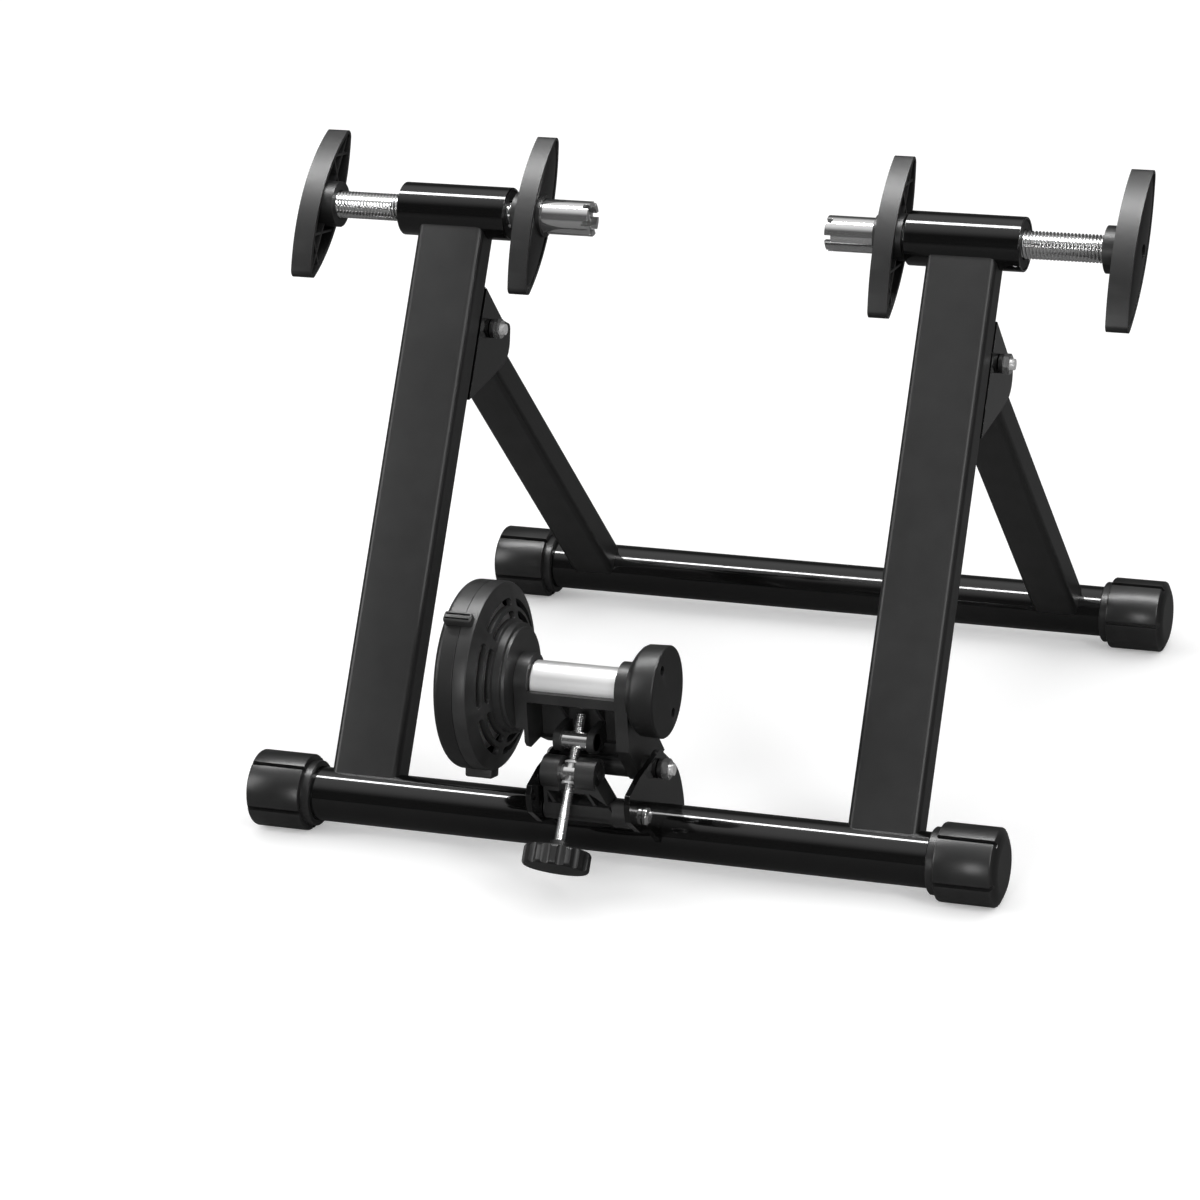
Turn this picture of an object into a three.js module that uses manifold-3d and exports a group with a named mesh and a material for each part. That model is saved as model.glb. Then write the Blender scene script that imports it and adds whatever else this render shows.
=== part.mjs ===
import * as THREE from 'three';
import { mergeVertices } from 'three/addons/utils/BufferGeometryUtils.js';
import Module from 'manifold-3d';

// Folding wheel-on trainer, in millimetres.
// X runs along the base tubes, Y from the front tube to the rear tube, Z up.
// While it is being modelled, Y = 0 is the front tube and Z = 0 the floor.
// At the end the whole stand is moved so that its origin is the middle of its footprint.

// fits and working allowances
const seatGap = 0.3;
const runningGap = 0.5;
const looseGap = 1;
const overrun = 4;

// welded frame
const tubeDiameter = 38;
const tubeWall = 1.8;
const baseLength = 546;
const baseSpacing = 470;
const uprightInset = 84;
const uprightWidth = 50;
const uprightDepth = 25;
const boxTubeWall = 1.8;
const boxTubeCorner = 5;
const barrelHeight = 362.5; // above the base tubes' axis
const barrelSetback = 227;
const barrelLength = 82;
const insertBore = 20.6;
const insertRecess = 2.5;

// moulded end caps on the base tubes, which are the feet
const capDiameter = 54;
const capPadLength = 40;
const capPadCount = 5;
const capGrooveWidth = 3.2;
const capGrooveDepth = 4;
const capCollarDiameter = 46;
const capCollarLength = 6;
const capDome = 3;
const capFootCut = 0.5;
const capWallGap = 0.3;
const capGrooveAngle = 62;
const capTurn = 14;

// hinge of the rear frame
const foldBoltDrop = 82.6;
const foldBoltReach = 24.4;
const bracketPlate = 3;
const cheekRise = 31.6;
const cheekDrop = 38.4;
const cheekNose = 36;
const strutWidth = 35;
const strutDepth = 25;
const hingeBoltDiameter = 8;
const nutAcross = 13;
const nutHeight = 8;
const boltHeadHeight = 5.5;
const boltStubLength = 3;
const spacerDiameter = 22;

// wheel clamps
const rodDiameter = 19.6;
const cupDiameter = 25;
const cupBore = 17;
const cupDepth = 16;
const cupNotchCount = 6;
const cupNotchWidth = 4;
const cupNotchDepth = 4.5;
const cupEdge = 1.2;
const cupLength = 38;
const leftThreadShown = 51.5;
const rightThreadShown = 57.5;
const leftLockGap = 5;
const rightLockGap = 2.5;
const wingLength = 120;
const wingWidth = 36;
const wingThickness = 15.5;
const lockThickness = 14;
const wingTipRadius = 5;
const wingWallThickness = 2.6;
const wingSkinThickness = 4;
const wingRibThickness = 1.6;
const wingHubDiameter = 33;
const wingHubRise = 8;
const lockHubRise = 4;
const wingLipWidth = 2.2;
const wingLipDepth = 1.2;
const wingSocketDiameter = 10;
const wingSocketDepth = 5;
const wingDomeRise = 2.6;
const leftWingLean = 44;
const rightWingLean = 40;
const lockWingLean = 38;
const collarDiameter = 30;
const collarRise = 3;

// steel bracket that carries the roller unit
const unitBracketWidth = 74;
const unitBracketPlate = 4;
const yokePivotForward = 15.8;
const yokePivotAbove = 34.7; // above the top of the front tube, as the arm pin is
const bracketCrownRadius = 12.5;
const armPinForward = 29.8;
const armPinAbove = 13.7;
const bracketNose = 27.4;
const bracketTail = 30;
const pivotBoltDiameter = 8;
const armPinDiameter = 8;
const pinHeadThickness = 4;
const pinHeadDiameter = 12;
const clipThickness = 1.4;
const clipDiameter = 14;
const pinStubLength = 4;

// roller unit
const rollerForward = 10.2;
const rollerRise = 60.9;
const rollerDiameter = 27;
const rollerLength = 62;
const rollerCentre = -14;
const shaftDiameter = 10;
const bearingDiameter = 26;
const bearingWidth = 8;
const yokeWallThickness = 9;
const yokeArmDrop = 16;
const yokeTopRadius = 18;
const footReach = 40;
const footDrop = 4;
const wallKneeRise = 22;
const lipHeight = 7;
const lipDrop = 6.1; // from the roller's axis to the middle of the lip
const leftWallDrop = 29.3;
const leftWallSlant = 8;
const lipDepth = 5;
const webPlate = 3;
const yokeRibThickness = 2.4;
const barDepth = 7.2;
const barPitch = 9.6;
const yokeTubeRadius = 8;
const cradleWidth = 5;
const cradleSkinThickness = 2;
const drumRadius = 64.5;
const drumWallThickness = 2.6;
const drumOuterWidth = 15;
const drumInnerWidth = 10;
const drumHubRadius = 35;
const drumHubRise = 15;
const drumCorner = 5;
const ventSectors = 6;
const ventSweep = 44;
const ventTurn = 8;
const ventOuterRadius = 51;
const ventInnerRadius = 42.5;
const ventWidth = 5.5;
const clipTurns = [-55, 77, 177]; // about the drum's axis, from its front
const clipWidth = 13;
const clipRise = 6;
const clipLength = 23;
const clipRidgeLength = 19.8;
const clipGrooveWidth = 2.1;
const clipGrooveDepth = 1.8;
const clipGrooveOffset = 2.9;
const bearingCapRadius = 31.5;
const bearingCapLength = 22.5;
const bearingCapNeck = 22;
const bearingCapTaper = 8.1;
const capScrewRadius = 20.5;
const capScrewTurn = 25;
const screwHeadDiameter = 6.5;
const screwHoleDepth = 14;
const screwHeadHeight = 7;
const screwSocketDepth = 3.5;
const rotorRadius = 52;
const rotorThickness = 4;
const rotorHubLength = 8;
const magnetRadius = 42;
const magnetDiameter = 16;
const magnetCount = 8;
const magnetThickness = 4;

// adjuster
const adjusterPlane = -14;
const trunnionBack = 0.4;
const trunnionRise = 25.8;
const screwLean = 35.4;
const screwDiameter = 7.4;
const threadDiameter = 6.4;
const screwAbove = 41.5;
const screwBelow = 47;
const nutAlongScrew = 22.6;
const trunnionDiameter = 12;
const trunnionSeatDepth = 8;
const bossRadius = 11.5;
const bossGap = 12;
const bossWidth = 14;
const armHubRadius = 8;
const armDepth = 17;
const armWallThickness = 2.6;
const armRibThickness = 2;
const armRibTurn = -32;
const armFootReach = 19.8;
const collarRadius = 9.5;
const barrelNutDiameter = 12;
const barrelNutLength = 29;
const knobDiameter = 46;
const knobHeight = 14;
const knobNeckDiameter = 12;
const knobNeckHeight = 5;
const knobFlutes = 14;
const knobFluteDepth = 1.6;
const knobFluteRadius = 4.8;
const knobCorner = 2.5;
const washerThickness = 1.6;

// roundness: sides of a full turn
const drumSides = 28;
const tubeSides = 20;
const partSides = 14;
const smallSides = 10;
const arcSteps = 3;
const ventSteps = 2;
const fineSteps = 1;
const capSides = 20;
const magnetSides = 6;

const wasm = await Module();
wasm.setup();

const degrees = THREE.MathUtils.degToRad;
const half = (length) => length / 2;

// places worked out from the sizes; a centre is its distance behind the front tube and its height
const tubeRadius = half(tubeDiameter);
const baseHeight = half(capDiameter) - capFootCut;
const uprightOffset = half(baseLength) - uprightInset;
const uprightAngle = Math.atan2(barrelSetback, barrelHeight);
const baseCentre = [0, baseHeight];
const rearCentre = [baseSpacing, baseHeight];
const barrelCentre = [barrelSetback, baseHeight + barrelHeight];
const foldHeight = baseHeight + barrelHeight - foldBoltDrop;
const foldCentre = [rearFaceAt(foldHeight) + foldBoltReach, foldHeight];
const barrelStart = uprightOffset - half(barrelLength);
const barrelEnd = uprightOffset + half(barrelLength);
const yokePivot = [-yokePivotForward, baseHeight + tubeRadius + yokePivotAbove];
const armPin = [-tubeRadius - armPinForward, baseHeight + tubeRadius + armPinAbove];
const trunnion = [armPin[0] + trunnionBack, armPin[1] + trunnionRise];
const rollerAxis = [yokePivot[0] - rollerForward, yokePivot[1] + rollerRise];
const bracketEdge = half(unitBracketWidth);
const screwAngle = degrees(screwLean);

// The setback of the upright's rear face at a height.
function rearFaceAt(z) {
  return (z - baseHeight) * Math.tan(uprightAngle) + half(uprightDepth) / Math.cos(uprightAngle) + seatGap;
}

// closed meshes and solids

// Merges shared corners, drops slivers left by the poles and turns the faces out.
function closedGeometry(geometry) {
  const bare = geometry.clone();
  bare.deleteAttribute('normal');
  bare.deleteAttribute('uv');
  const merged = mergeVertices(bare);
  const source = merged.index.array;
  const place = merged.attributes.position;
  const faces = [];
  let volume = 0;
  const a = new THREE.Vector3();
  const b = new THREE.Vector3();
  const c = new THREE.Vector3();
  for (let i = 0; i < source.length; i += 3) {
    const [p, q, r] = [source[i], source[i + 1], source[i + 2]];
    if (p === q || q === r || r === p) continue;
    faces.push([p, q, r]);
    a.fromBufferAttribute(place, p);
    b.fromBufferAttribute(place, q);
    c.fromBufferAttribute(place, r);
    volume += a.dot(b.cross(c));
  }
  merged.setIndex(faces.flatMap(([p, q, r]) => (volume < 0 ? [p, r, q] : [p, q, r])));
  return merged;
}

function toSolid(geometry) {
  const closed = closedGeometry(geometry);
  const mesh = new wasm.Mesh({
    numProp: 3,
    vertProperties: new Float32Array(closed.attributes.position.array),
    triVerts: new Uint32Array(closed.index.array),
  });
  return new wasm.Manifold(mesh);
}

function toGeometry(solid) {
  const mesh = solid.getMesh();
  const geometry = new THREE.BufferGeometry();
  geometry.setAttribute('position', new THREE.BufferAttribute(new Float32Array(mesh.vertProperties), 3));
  geometry.setIndex(Array.from(mesh.triVerts));
  return geometry;
}

const join = (...shapes) => toGeometry(shapes.map(toSolid).reduce((sum, next) => sum.add(next)));
const cut = (body, ...tools) => toGeometry(
  tools.map(toSolid).reduce((left, tool) => left.subtract(tool), toSolid(body)),
);
const keep = (body, limit) => toGeometry(toSolid(body).intersect(toSolid(limit)));

// basic forms, laid along X unless their name says otherwise

const yzToWorld = new THREE.Matrix4().makeBasis(
  new THREE.Vector3(0, 1, 0),
  new THREE.Vector3(0, 0, 1),
  new THREE.Vector3(1, 0, 0),
);

// An outline in Y and Z, drawn as x and y of the shape, made solid from one X to another.
function slab(shape, fromX, toX, curveSegments = arcSteps) {
  const options = { depth: toX - fromX, bevelEnabled: false, curveSegments };
  return new THREE.ExtrudeGeometry(shape, options).applyMatrix4(yzToWorld).translate(fromX, 0, 0);
}

function rod(radius, fromX, toX, sides = partSides, y = 0, z = 0) {
  const geometry = new THREE.CylinderGeometry(radius, radius, toX - fromX, sides);
  return geometry.rotateZ(Math.PI / 2).translate(half(fromX + toX), y, z);
}

// A revolved form: the profile is a list of [x, radius], closed on the axis or on itself.
function turned(profile, sides = partSides, y = 0, z = 0) {
  const points = profile.map(([x, radius]) => new THREE.Vector2(radius, x));
  return new THREE.LatheGeometry(points, sides).rotateZ(-Math.PI / 2).translate(0, y, z);
}

function block(width, depth, height, x, y, z) {
  return new THREE.BoxGeometry(width, depth, height).translate(x, y, z);
}

function hexPrism(across, fromX, toX, y = 0, z = 0) {
  return rod(half(across) / Math.cos(Math.PI / 6), fromX, toX, 6, y, z);
}

function roundedBox(width, depth, corner) {
  const shape = new THREE.Shape();
  const x = half(width);
  const y = half(depth);
  shape.moveTo(-x + corner, -y);
  shape.lineTo(x - corner, -y);
  shape.absarc(x - corner, -y + corner, corner, -Math.PI / 2, 0);
  shape.lineTo(x, y - corner);
  shape.absarc(x - corner, y - corner, corner, 0, Math.PI / 2);
  shape.lineTo(-x + corner, y);
  shape.absarc(-x + corner, y - corner, corner, Math.PI / 2, Math.PI);
  shape.lineTo(-x, -y + corner);
  shape.absarc(-x + corner, -y + corner, corner, Math.PI, Math.PI * 1.5);
  return shape;
}

// A rectangular tube between two points of a plane of constant X.
function boxTube(width, depth, x, from, to) {
  const along = new THREE.Vector2(to[0] - from[0], to[1] - from[1]);
  const outer = roundedBox(width, depth, boxTubeCorner);
  const inner = roundedBox(width - 2 * boxTubeWall, depth - 2 * boxTubeWall, boxTubeCorner - boxTubeWall);
  outer.holes.push(new THREE.Path(inner.getPoints(fineSteps).reverse()));
  const options = { depth: along.length(), bevelEnabled: false, curveSegments: fineSteps };
  const geometry = new THREE.ExtrudeGeometry(outer, options);
  return geometry
    .rotateX(-Math.atan2(along.x, along.y))
    .translate(x, from[0], from[1]);
}

// paints

const finishes = {
  glossPaint: { color: 0x141414, roughness: 0.18, metalness: 0 },
  satinPaint: { color: 0x2b2b2d, roughness: 0.45, metalness: 0 },
  rubber: { color: 0x262628, roughness: 0.5, metalness: 0 },
  moulding: { color: 0x333335, roughness: 0.55, metalness: 0 },
  chrome: { color: 0xd4d6d8, roughness: 0.12, metalness: 1 },
  zinc: { color: 0xb9bdc0, roughness: 0.3, metalness: 1 },
  rollerSteel: { color: 0xdcdcdc, roughness: 0.22, metalness: 1 },
  aluminium: { color: 0xa8abad, roughness: 0.4, metalness: 1 },
  magnet: { color: 0x4b4d50, roughness: 0.35, metalness: 0.8 },
  nylon: { color: 0x1b1b1c, roughness: 0.6, metalness: 0 },
};

const stand = new THREE.Group();

function place(name, finish, geometry) {
  const closed = closedGeometry(geometry);
  closed.computeVertexNormals();
  const mesh = new THREE.Mesh(closed, new THREE.MeshStandardMaterial(finishes[finish]));
  mesh.name = name;
  stand.add(mesh);
}

// base tubes and their end caps

const tubeStart = half(baseLength) - capDome - runningGap;

function baseTube(y) {
  const outer = rod(tubeRadius, -tubeStart, tubeStart, tubeSides, y, baseHeight);
  const bore = rod(tubeRadius - tubeWall, -tubeStart - overrun, tubeStart + overrun, tubeSides, y, baseHeight);
  return cut(outer, bore);
}

// A cap for the +X end: a domed end, a collar and pads parted by grooves, cut flat where it stands.
function endCap(y, turn) {
  const outer = half(capDiameter);
  const end = half(baseLength);
  const padEnd = end - capDome;
  const padStart = padEnd - capPadLength;
  const collarStart = padStart - capCollarLength;
  const seat = tubeRadius + capWallGap;
  const rim = half(capCollarDiameter);
  const edge = half(capDome);
  const body = turned([
    [collarStart, seat], [collarStart, rim], [padStart, rim], [padStart, outer - edge],
    [padStart + edge, outer], [padEnd - edge, outer], [padEnd, outer - edge],
    [end - edge, rim - edge], [end, rim - capDome - edge], [end, 0],
    [padEnd, 0], [padEnd, seat], [collarStart, seat],
  ], capSides).rotateX(Math.PI / capSides);
  const grooves = [];
  for (let i = 0; i < capPadCount; i += 1) {
    const angle = degrees(capGrooveAngle + turn) + (i * 2 * Math.PI) / capPadCount;
    const groove = block(capPadLength + overrun, capGrooveDepth + overrun, capGrooveWidth,
      half(padStart + padEnd), -(outer + half(overrun - capGrooveDepth)), 0);
    grooves.push(groove.rotateX(-angle));
  }
  const foot = block(baseLength, capDiameter, capDiameter, 0, 0, -baseHeight - half(capDiameter));
  return cut(body, ...grooves, foot).translate(0, y, baseHeight);
}

const mirrorX = (geometry) => closedGeometry(geometry.clone().scale(-1, 1, 1));

place('front_base_tube', 'glossPaint', baseTube(0));
place('front_cap_left', 'rubber', mirrorX(endCap(0, 0)));
place('front_cap_right', 'rubber', endCap(0, 0));
place('rear_base_tube', 'glossPaint', baseTube(baseSpacing));
place('rear_cap_left', 'rubber', mirrorX(endCap(baseSpacing, 0)));
place('rear_cap_right', 'rubber', endCap(baseSpacing, capTurn));

// uprights, clamp barrels and folding hinges

function upright(x) {
  const post = boxTube(uprightWidth, uprightDepth, x, baseCentre, barrelCentre);
  const fit = tubeRadius + seatGap;
  const reach = [x - uprightWidth, x + uprightWidth];
  const lower = rod(fit, ...reach, tubeSides, ...baseCentre);
  const upper = rod(fit, ...reach, tubeSides, ...barrelCentre);
  return cut(post, lower, upper);
}

function barrel(x) {
  const ends = [x - half(barrelLength), x + half(barrelLength)];
  const outer = rod(tubeRadius, ...ends, tubeSides, ...barrelCentre);
  const bore = rod(tubeRadius - tubeWall, ends[0] - overrun, ends[1] + overrun, tubeSides, ...barrelCentre);
  return cut(outer, bore);
}

function barrelInsert(x) {
  const reach = half(barrelLength) - insertRecess;
  const outer = tubeRadius - tubeWall - seatGap;
  const bore = half(insertBore);
  const edge = half(insertRecess);
  return turned([
    [x - reach, bore + edge], [x - reach, outer], [x + reach, outer], [x + reach, bore + edge],
    [x + reach - edge, bore], [x - reach + edge, bore], [x - reach, bore + edge],
  ], partSides, ...barrelCentre);
}

const bracketTop = foldHeight + cheekRise;
const bracketBottom = foldHeight - cheekDrop;
// Corners of a cheek from the bolt, as shares of its nose: the heel, the round toe and the brow.
const cheekHeelShare = [0.01, -0.97];
const cheekToeShares = [[0.58, -0.9], [0.84, -0.82], [0.92, -0.56]];
const cheekBrowShares = [[0.97, -0.34], [1.01, -0.2], [0.85, -0.14]];
const cheekNeckShare = [0.6, 0];

// A cheek of the folding hinge, which runs back from the upright and narrows to a round nose.
function cheekShape() {
  const fromBolt = ([y, z]) => [foldCentre[0] + y * cheekNose, foldCentre[1] + z * cheekNose];
  const shape = new THREE.Shape();
  shape.moveTo(rearFaceAt(bracketTop), bracketTop);
  shape.lineTo(rearFaceAt(bracketBottom), bracketBottom);
  shape.lineTo(...fromBolt(cheekHeelShare));
  for (const corner of [cheekToeShares, cheekBrowShares]) {
    shape.lineTo(...fromBolt(corner[0]));
    shape.quadraticCurveTo(...fromBolt(corner[1]), ...fromBolt(corner[2]));
  }
  shape.lineTo(...fromBolt(cheekNeckShare));
  shape.closePath();
  return shape;
}

const hingeHole = half(hingeBoltDiameter) + runningGap;

function hingeBracket(x) {
  const inner = half(uprightWidth) - bracketPlate;
  const outer = half(uprightWidth);
  const cheeks = [
    slab(cheekShape(), x - outer, x - inner),
    slab(cheekShape(), x + inner, x + outer),
  ];
  const back = new THREE.Shape();
  back.moveTo(rearFaceAt(bracketTop), bracketTop);
  back.lineTo(rearFaceAt(bracketBottom), bracketBottom);
  back.lineTo(rearFaceAt(bracketBottom) + bracketPlate, bracketBottom);
  back.lineTo(rearFaceAt(bracketTop) + bracketPlate, bracketTop);
  back.closePath();
  const web = slab(back, x - inner - half(bracketPlate), x + inner + half(bracketPlate));
  const bore = rod(hingeHole, x - outer - overrun, x + outer + overrun, smallSides, ...foldCentre);
  return cut(join(...cheeks, web), bore);
}

function hexBolt(fromX, toX, diameter, centre) {
  const head = hexPrism(nutAcross, fromX - boltHeadHeight - seatGap, fromX - seatGap, ...centre);
  const shankEnd = toX + nutHeight + boltStubLength;
  const shank = rod(half(diameter), fromX - half(boltHeadHeight), shankEnd, smallSides, ...centre);
  return join(head, shank);
}

function hexNut(x, diameter, centre) {
  const body = hexPrism(nutAcross, x + seatGap, x + seatGap + nutHeight, ...centre);
  return cut(body, rod(half(diameter) + seatGap, x - overrun, x + nutHeight + overrun, smallSides, ...centre));
}

function strut(x) {
  const post = boxTube(strutWidth, strutDepth, x, foldCentre, rearCentre);
  const earRadius = half(strutDepth) - seatGap;
  const ear = rod(earRadius, x - half(strutWidth), x + half(strutWidth), partSides, ...foldCentre);
  const lower = rod(tubeRadius + seatGap, x - strutWidth, x + strutWidth, tubeSides, ...rearCentre);
  const bore = rod(hingeHole, x - strutWidth, x + strutWidth, smallSides, ...foldCentre);
  return cut(join(post, ear), lower, bore);
}

// A nylon spacer between the strut and a cheek, on the side that the sign gives.
function strutSpacer(x, sign) {
  const cheek = x + sign * (half(uprightWidth) - bracketPlate - seatGap);
  const face = x + sign * (half(strutWidth) + seatGap);
  const [fromX, toX] = [cheek, face].sort((p, q) => p - q);
  return cut(
    rod(half(spacerDiameter), fromX, toX, smallSides, ...foldCentre),
    rod(hingeHole, fromX - overrun, toX + overrun, smallSides, ...foldCentre),
  );
}

for (const [side, x] of [['left', -uprightOffset], ['right', uprightOffset]]) {
  place(`upright_${side}`, 'satinPaint', upright(x));
  place(`clamp_barrel_${side}`, 'glossPaint', barrel(x));
  place(`barrel_insert_${side}`, 'zinc', barrelInsert(x));
  place(`hinge_bracket_${side}`, 'glossPaint', hingeBracket(x));
  const outer = half(uprightWidth);
  place(`hinge_bolt_${side}`, 'zinc', hexBolt(x - outer, x + outer, hingeBoltDiameter, foldCentre));
  place(`hinge_nut_${side}`, 'chrome', hexNut(x + outer, hingeBoltDiameter, foldCentre));
  place(`strut_${side}`, 'satinPaint', strut(x));
  place(`strut_spacer_${side}_a`, 'nylon', strutSpacer(x, -1));
  place(`strut_spacer_${side}_b`, 'nylon', strutSpacer(x, 1));
}

// wheel clamps: each side has a cup, a threaded rod, an outer wing and a lock wing

// A lens with round tips, grown or shrunk by an offset.
function lensShape(offset) {
  const reach = half(wingLength) - wingTipRadius;
  const rise = half(wingWidth) - wingTipRadius;
  const bow = (reach * reach + rise * rise) / (2 * rise);
  const sweep = Math.asin(reach / bow);
  const tip = wingTipRadius + offset;
  const shape = new THREE.Shape();
  shape.absarc(0, rise - bow, bow + tip, Math.PI / 2 + sweep, Math.PI / 2 - sweep, true);
  shape.absarc(reach, 0, tip, Math.PI / 2 - sweep, sweep - Math.PI / 2, true);
  shape.absarc(0, bow - rise, bow + tip, sweep - Math.PI / 2, -sweep - Math.PI / 2, true);
  shape.absarc(-reach, 0, tip, -sweep - Math.PI / 2, -Math.PI * 1.5 + sweep, true);
  return shape;
}

const wingRibPlaceShares = [-0.34, -0.2, 0.2, 0.34];
const wingRibTurns = [55, -55, 55, -55];

// A wing whose hollow side faces +X and lies at X = 0, with its hub standing proud of it.
// A rod bore goes right through a lock wing; an outer wing has a screw socket instead.
function wing(lean, thickness, hubRise, isLock) {
  const lens = (offset, fromX, toX) => slab(lensShape(offset), fromX, toX);
  const body = lens(0, -thickness, 0);
  const hollow = lens(-wingWallThickness, wingSkinThickness - thickness, overrun);
  const recess = lens(-wingLipWidth, -thickness - overrun, wingLipDepth - thickness);
  const dome = new THREE.SphereGeometry(1, smallSides, half(smallSides))
    .scale(wingDomeRise, half(wingLength) - wingTipRadius - wingLipWidth, half(wingWidth) - 2 * wingLipWidth)
    .translate(wingLipDepth - thickness, 0, 0);
  const ribDepth = thickness - wingSkinThickness;
  const ribs = [block(ribDepth, wingLength, wingRibThickness, half(-ribDepth) - wingLipDepth, 0, 0)];
  wingRibPlaceShares.forEach((share, i) => {
    const rib = block(ribDepth, wingWidth * 2, wingRibThickness, half(-ribDepth) - wingLipDepth, 0, 0);
    ribs.push(rib.rotateX(degrees(wingRibTurns[i])).translate(0, share * wingLength, 0));
  });
  const innerRibs = keep(join(...ribs), lens(-half(wingWallThickness), -thickness, 0));
  const hub = rod(half(wingHubDiameter), half(wingSkinThickness) - thickness, hubRise);
  let shape = join(cut(body, hollow, recess), dome, innerRibs, hub);
  const bore = half(insertBore);
  if (isLock) {
    const collar = rod(half(collarDiameter), -thickness - collarRise, half(wingSkinThickness) - thickness);
    shape = cut(
      join(shape, collar),
      rod(bore, -thickness - overrun, hubRise + overrun),
      rod(half(cupDiameter) + runningGap, -thickness - collarRise - overrun, -thickness),
    );
  } else {
    const socketFloor = -thickness + wingSocketDepth;
    shape = cut(
      shape,
      rod(bore, socketFloor + wingLipDepth, hubRise + overrun),
      rod(half(wingSocketDiameter), -thickness - overrun, socketFloor, smallSides),
    );
  }
  return shape.rotateX(degrees(90 - lean));
}

function clampCup(tipX, sign) {
  const rim = half(cupDiameter);
  const bore = half(cupBore);
  const rodSeat = half(rodDiameter) + runningGap;
  const shoulder = cupLength - cupDepth - cupEdge;
  const rodHole = cupLength - cupDepth - 2 * cupEdge;
  const profile = [
    [0, rim], [shoulder + cupDepth, rim], [cupLength, rim - cupEdge], [cupLength, bore + cupEdge],
    [cupLength - cupEdge, bore], [shoulder + cupEdge, bore], [shoulder, bore - cupEdge], [shoulder, 0],
    [rodHole, 0], [rodHole, rodSeat], [0, rodSeat], [0, rim],
  ];
  const body = turned(profile);
  const notches = [];
  for (let i = 0; i < cupNotchCount; i += 1) {
    const notch = block(cupNotchDepth + overrun, cupDiameter, cupNotchWidth, 0, 0, 0);
    notch.translate(cupLength - cupNotchDepth + half(cupNotchDepth + overrun), half(cupDiameter), 0);
    notches.push(notch.rotateX((i * 2 * Math.PI) / cupNotchCount));
  }
  const cup = cut(body, ...notches).translate(-cupLength, 0, 0);
  return sign > 0 ? cup.translate(tipX, 0, 0) : mirrorX(cup).translate(tipX, 0, 0);
}

function wheelClamp(side, sign, wingInner, lockInner, lean) {
  const atBarrel = (geometry) => geometry.translate(0, ...barrelCentre);
  const facing = (geometry) => (sign > 0 ? geometry : mirrorX(geometry));
  const cupBase = lockInner + sign * (lockThickness + seatGap);
  const cupTip = cupBase + sign * cupLength;
  const rodSeatEnd = cupBase + sign * (cupLength - cupDepth - 2 * cupEdge - runningGap);
  const rodStart = wingInner + sign * (wingSocketDepth + wingLipDepth + seatGap - wingThickness);
  const ends = [rodStart, rodSeatEnd].sort((p, q) => p - q);
  place(`clamp_cup_${side}`, 'chrome', atBarrel(clampCup(cupTip, sign)));
  place(`threaded_rod_${side}`, 'zinc', rod(half(rodDiameter), ...ends, partSides, ...barrelCentre));
  const outerWing = facing(wing(lean, wingThickness, wingHubRise, false));
  place(`outer_wing_${side}`, 'moulding', atBarrel(outerWing.translate(wingInner, 0, 0)));
  const lockWing = mirrorX(facing(wing(lockWingLean, lockThickness, lockHubRise, true)));
  place(`lock_wing_${side}`, 'moulding', atBarrel(lockWing.translate(lockInner, 0, 0)));
}

wheelClamp('left', 1, -(barrelEnd + leftThreadShown + wingHubRise), -(barrelStart - leftLockGap - lockHubRise),
  leftWingLean);
wheelClamp('right', -1, barrelEnd + rightThreadShown + wingHubRise, barrelStart - rightLockGap - lockHubRise,
  rightWingLean);

// steel bracket over the front tube

// Points of the bracket's outline, as shares of its nose and tail from the pin and the tube.
const chinShare = [0.37, -0.51];
const throatShare = [-0.33, -0.29];
const noseShares = [[-0.91, 0.21], [-1.05, 0.62], [-0.87, 0.9]];
const browShare = [-0.15, 1.09];
const tailShares = [[0.51, 1.47], [0.9, 1.1], [1, 0.36]];
const crownStartAngle = 115;
const crownEndAngle = 40;

const fromPin = ([y, z]) => [armPin[0] + y * bracketNose, armPin[1] + z * bracketNose];
const fromTube = ([y, z]) => [y * bracketTail, baseHeight + z * bracketTail];

// Side view of the bracket: nose in front, round over the yoke pivot, tail behind the tube.
function bracketShape() {
  const shape = new THREE.Shape();
  shape.moveTo(-tubeRadius, baseHeight);
  shape.lineTo(...fromPin(chinShare));
  shape.lineTo(...fromPin(throatShare));
  shape.lineTo(...fromPin(noseShares[0]));
  shape.quadraticCurveTo(...fromPin(noseShares[1]), ...fromPin(noseShares[2]));
  shape.lineTo(...fromPin(browShare));
  shape.absarc(...yokePivot, bracketCrownRadius, degrees(crownStartAngle), degrees(crownEndAngle), true);
  shape.lineTo(...fromTube(tailShares[0]));
  shape.quadraticCurveTo(...fromTube(tailShares[1]), ...fromTube(tailShares[2]));
  shape.lineTo(bracketTail, baseHeight);
  shape.closePath();
  return shape;
}

// The plate that joins the cheeks along their lower edge, between the tube and the chin.
function bracketFloor(fromX, toX) {
  const start = new THREE.Vector2(-half(tubeRadius), baseHeight);
  const end = new THREE.Vector2(...fromPin(chinShare));
  const normal = end.clone().sub(start).normalize().multiplyScalar(unitBracketPlate);
  const shape = new THREE.Shape();
  shape.moveTo(start.x, start.y);
  shape.lineTo(end.x, end.y);
  shape.lineTo(end.x + normal.y, end.y - normal.x);
  shape.lineTo(start.x + normal.y, start.y - normal.x);
  shape.closePath();
  return slab(shape, fromX, toX);
}

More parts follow.
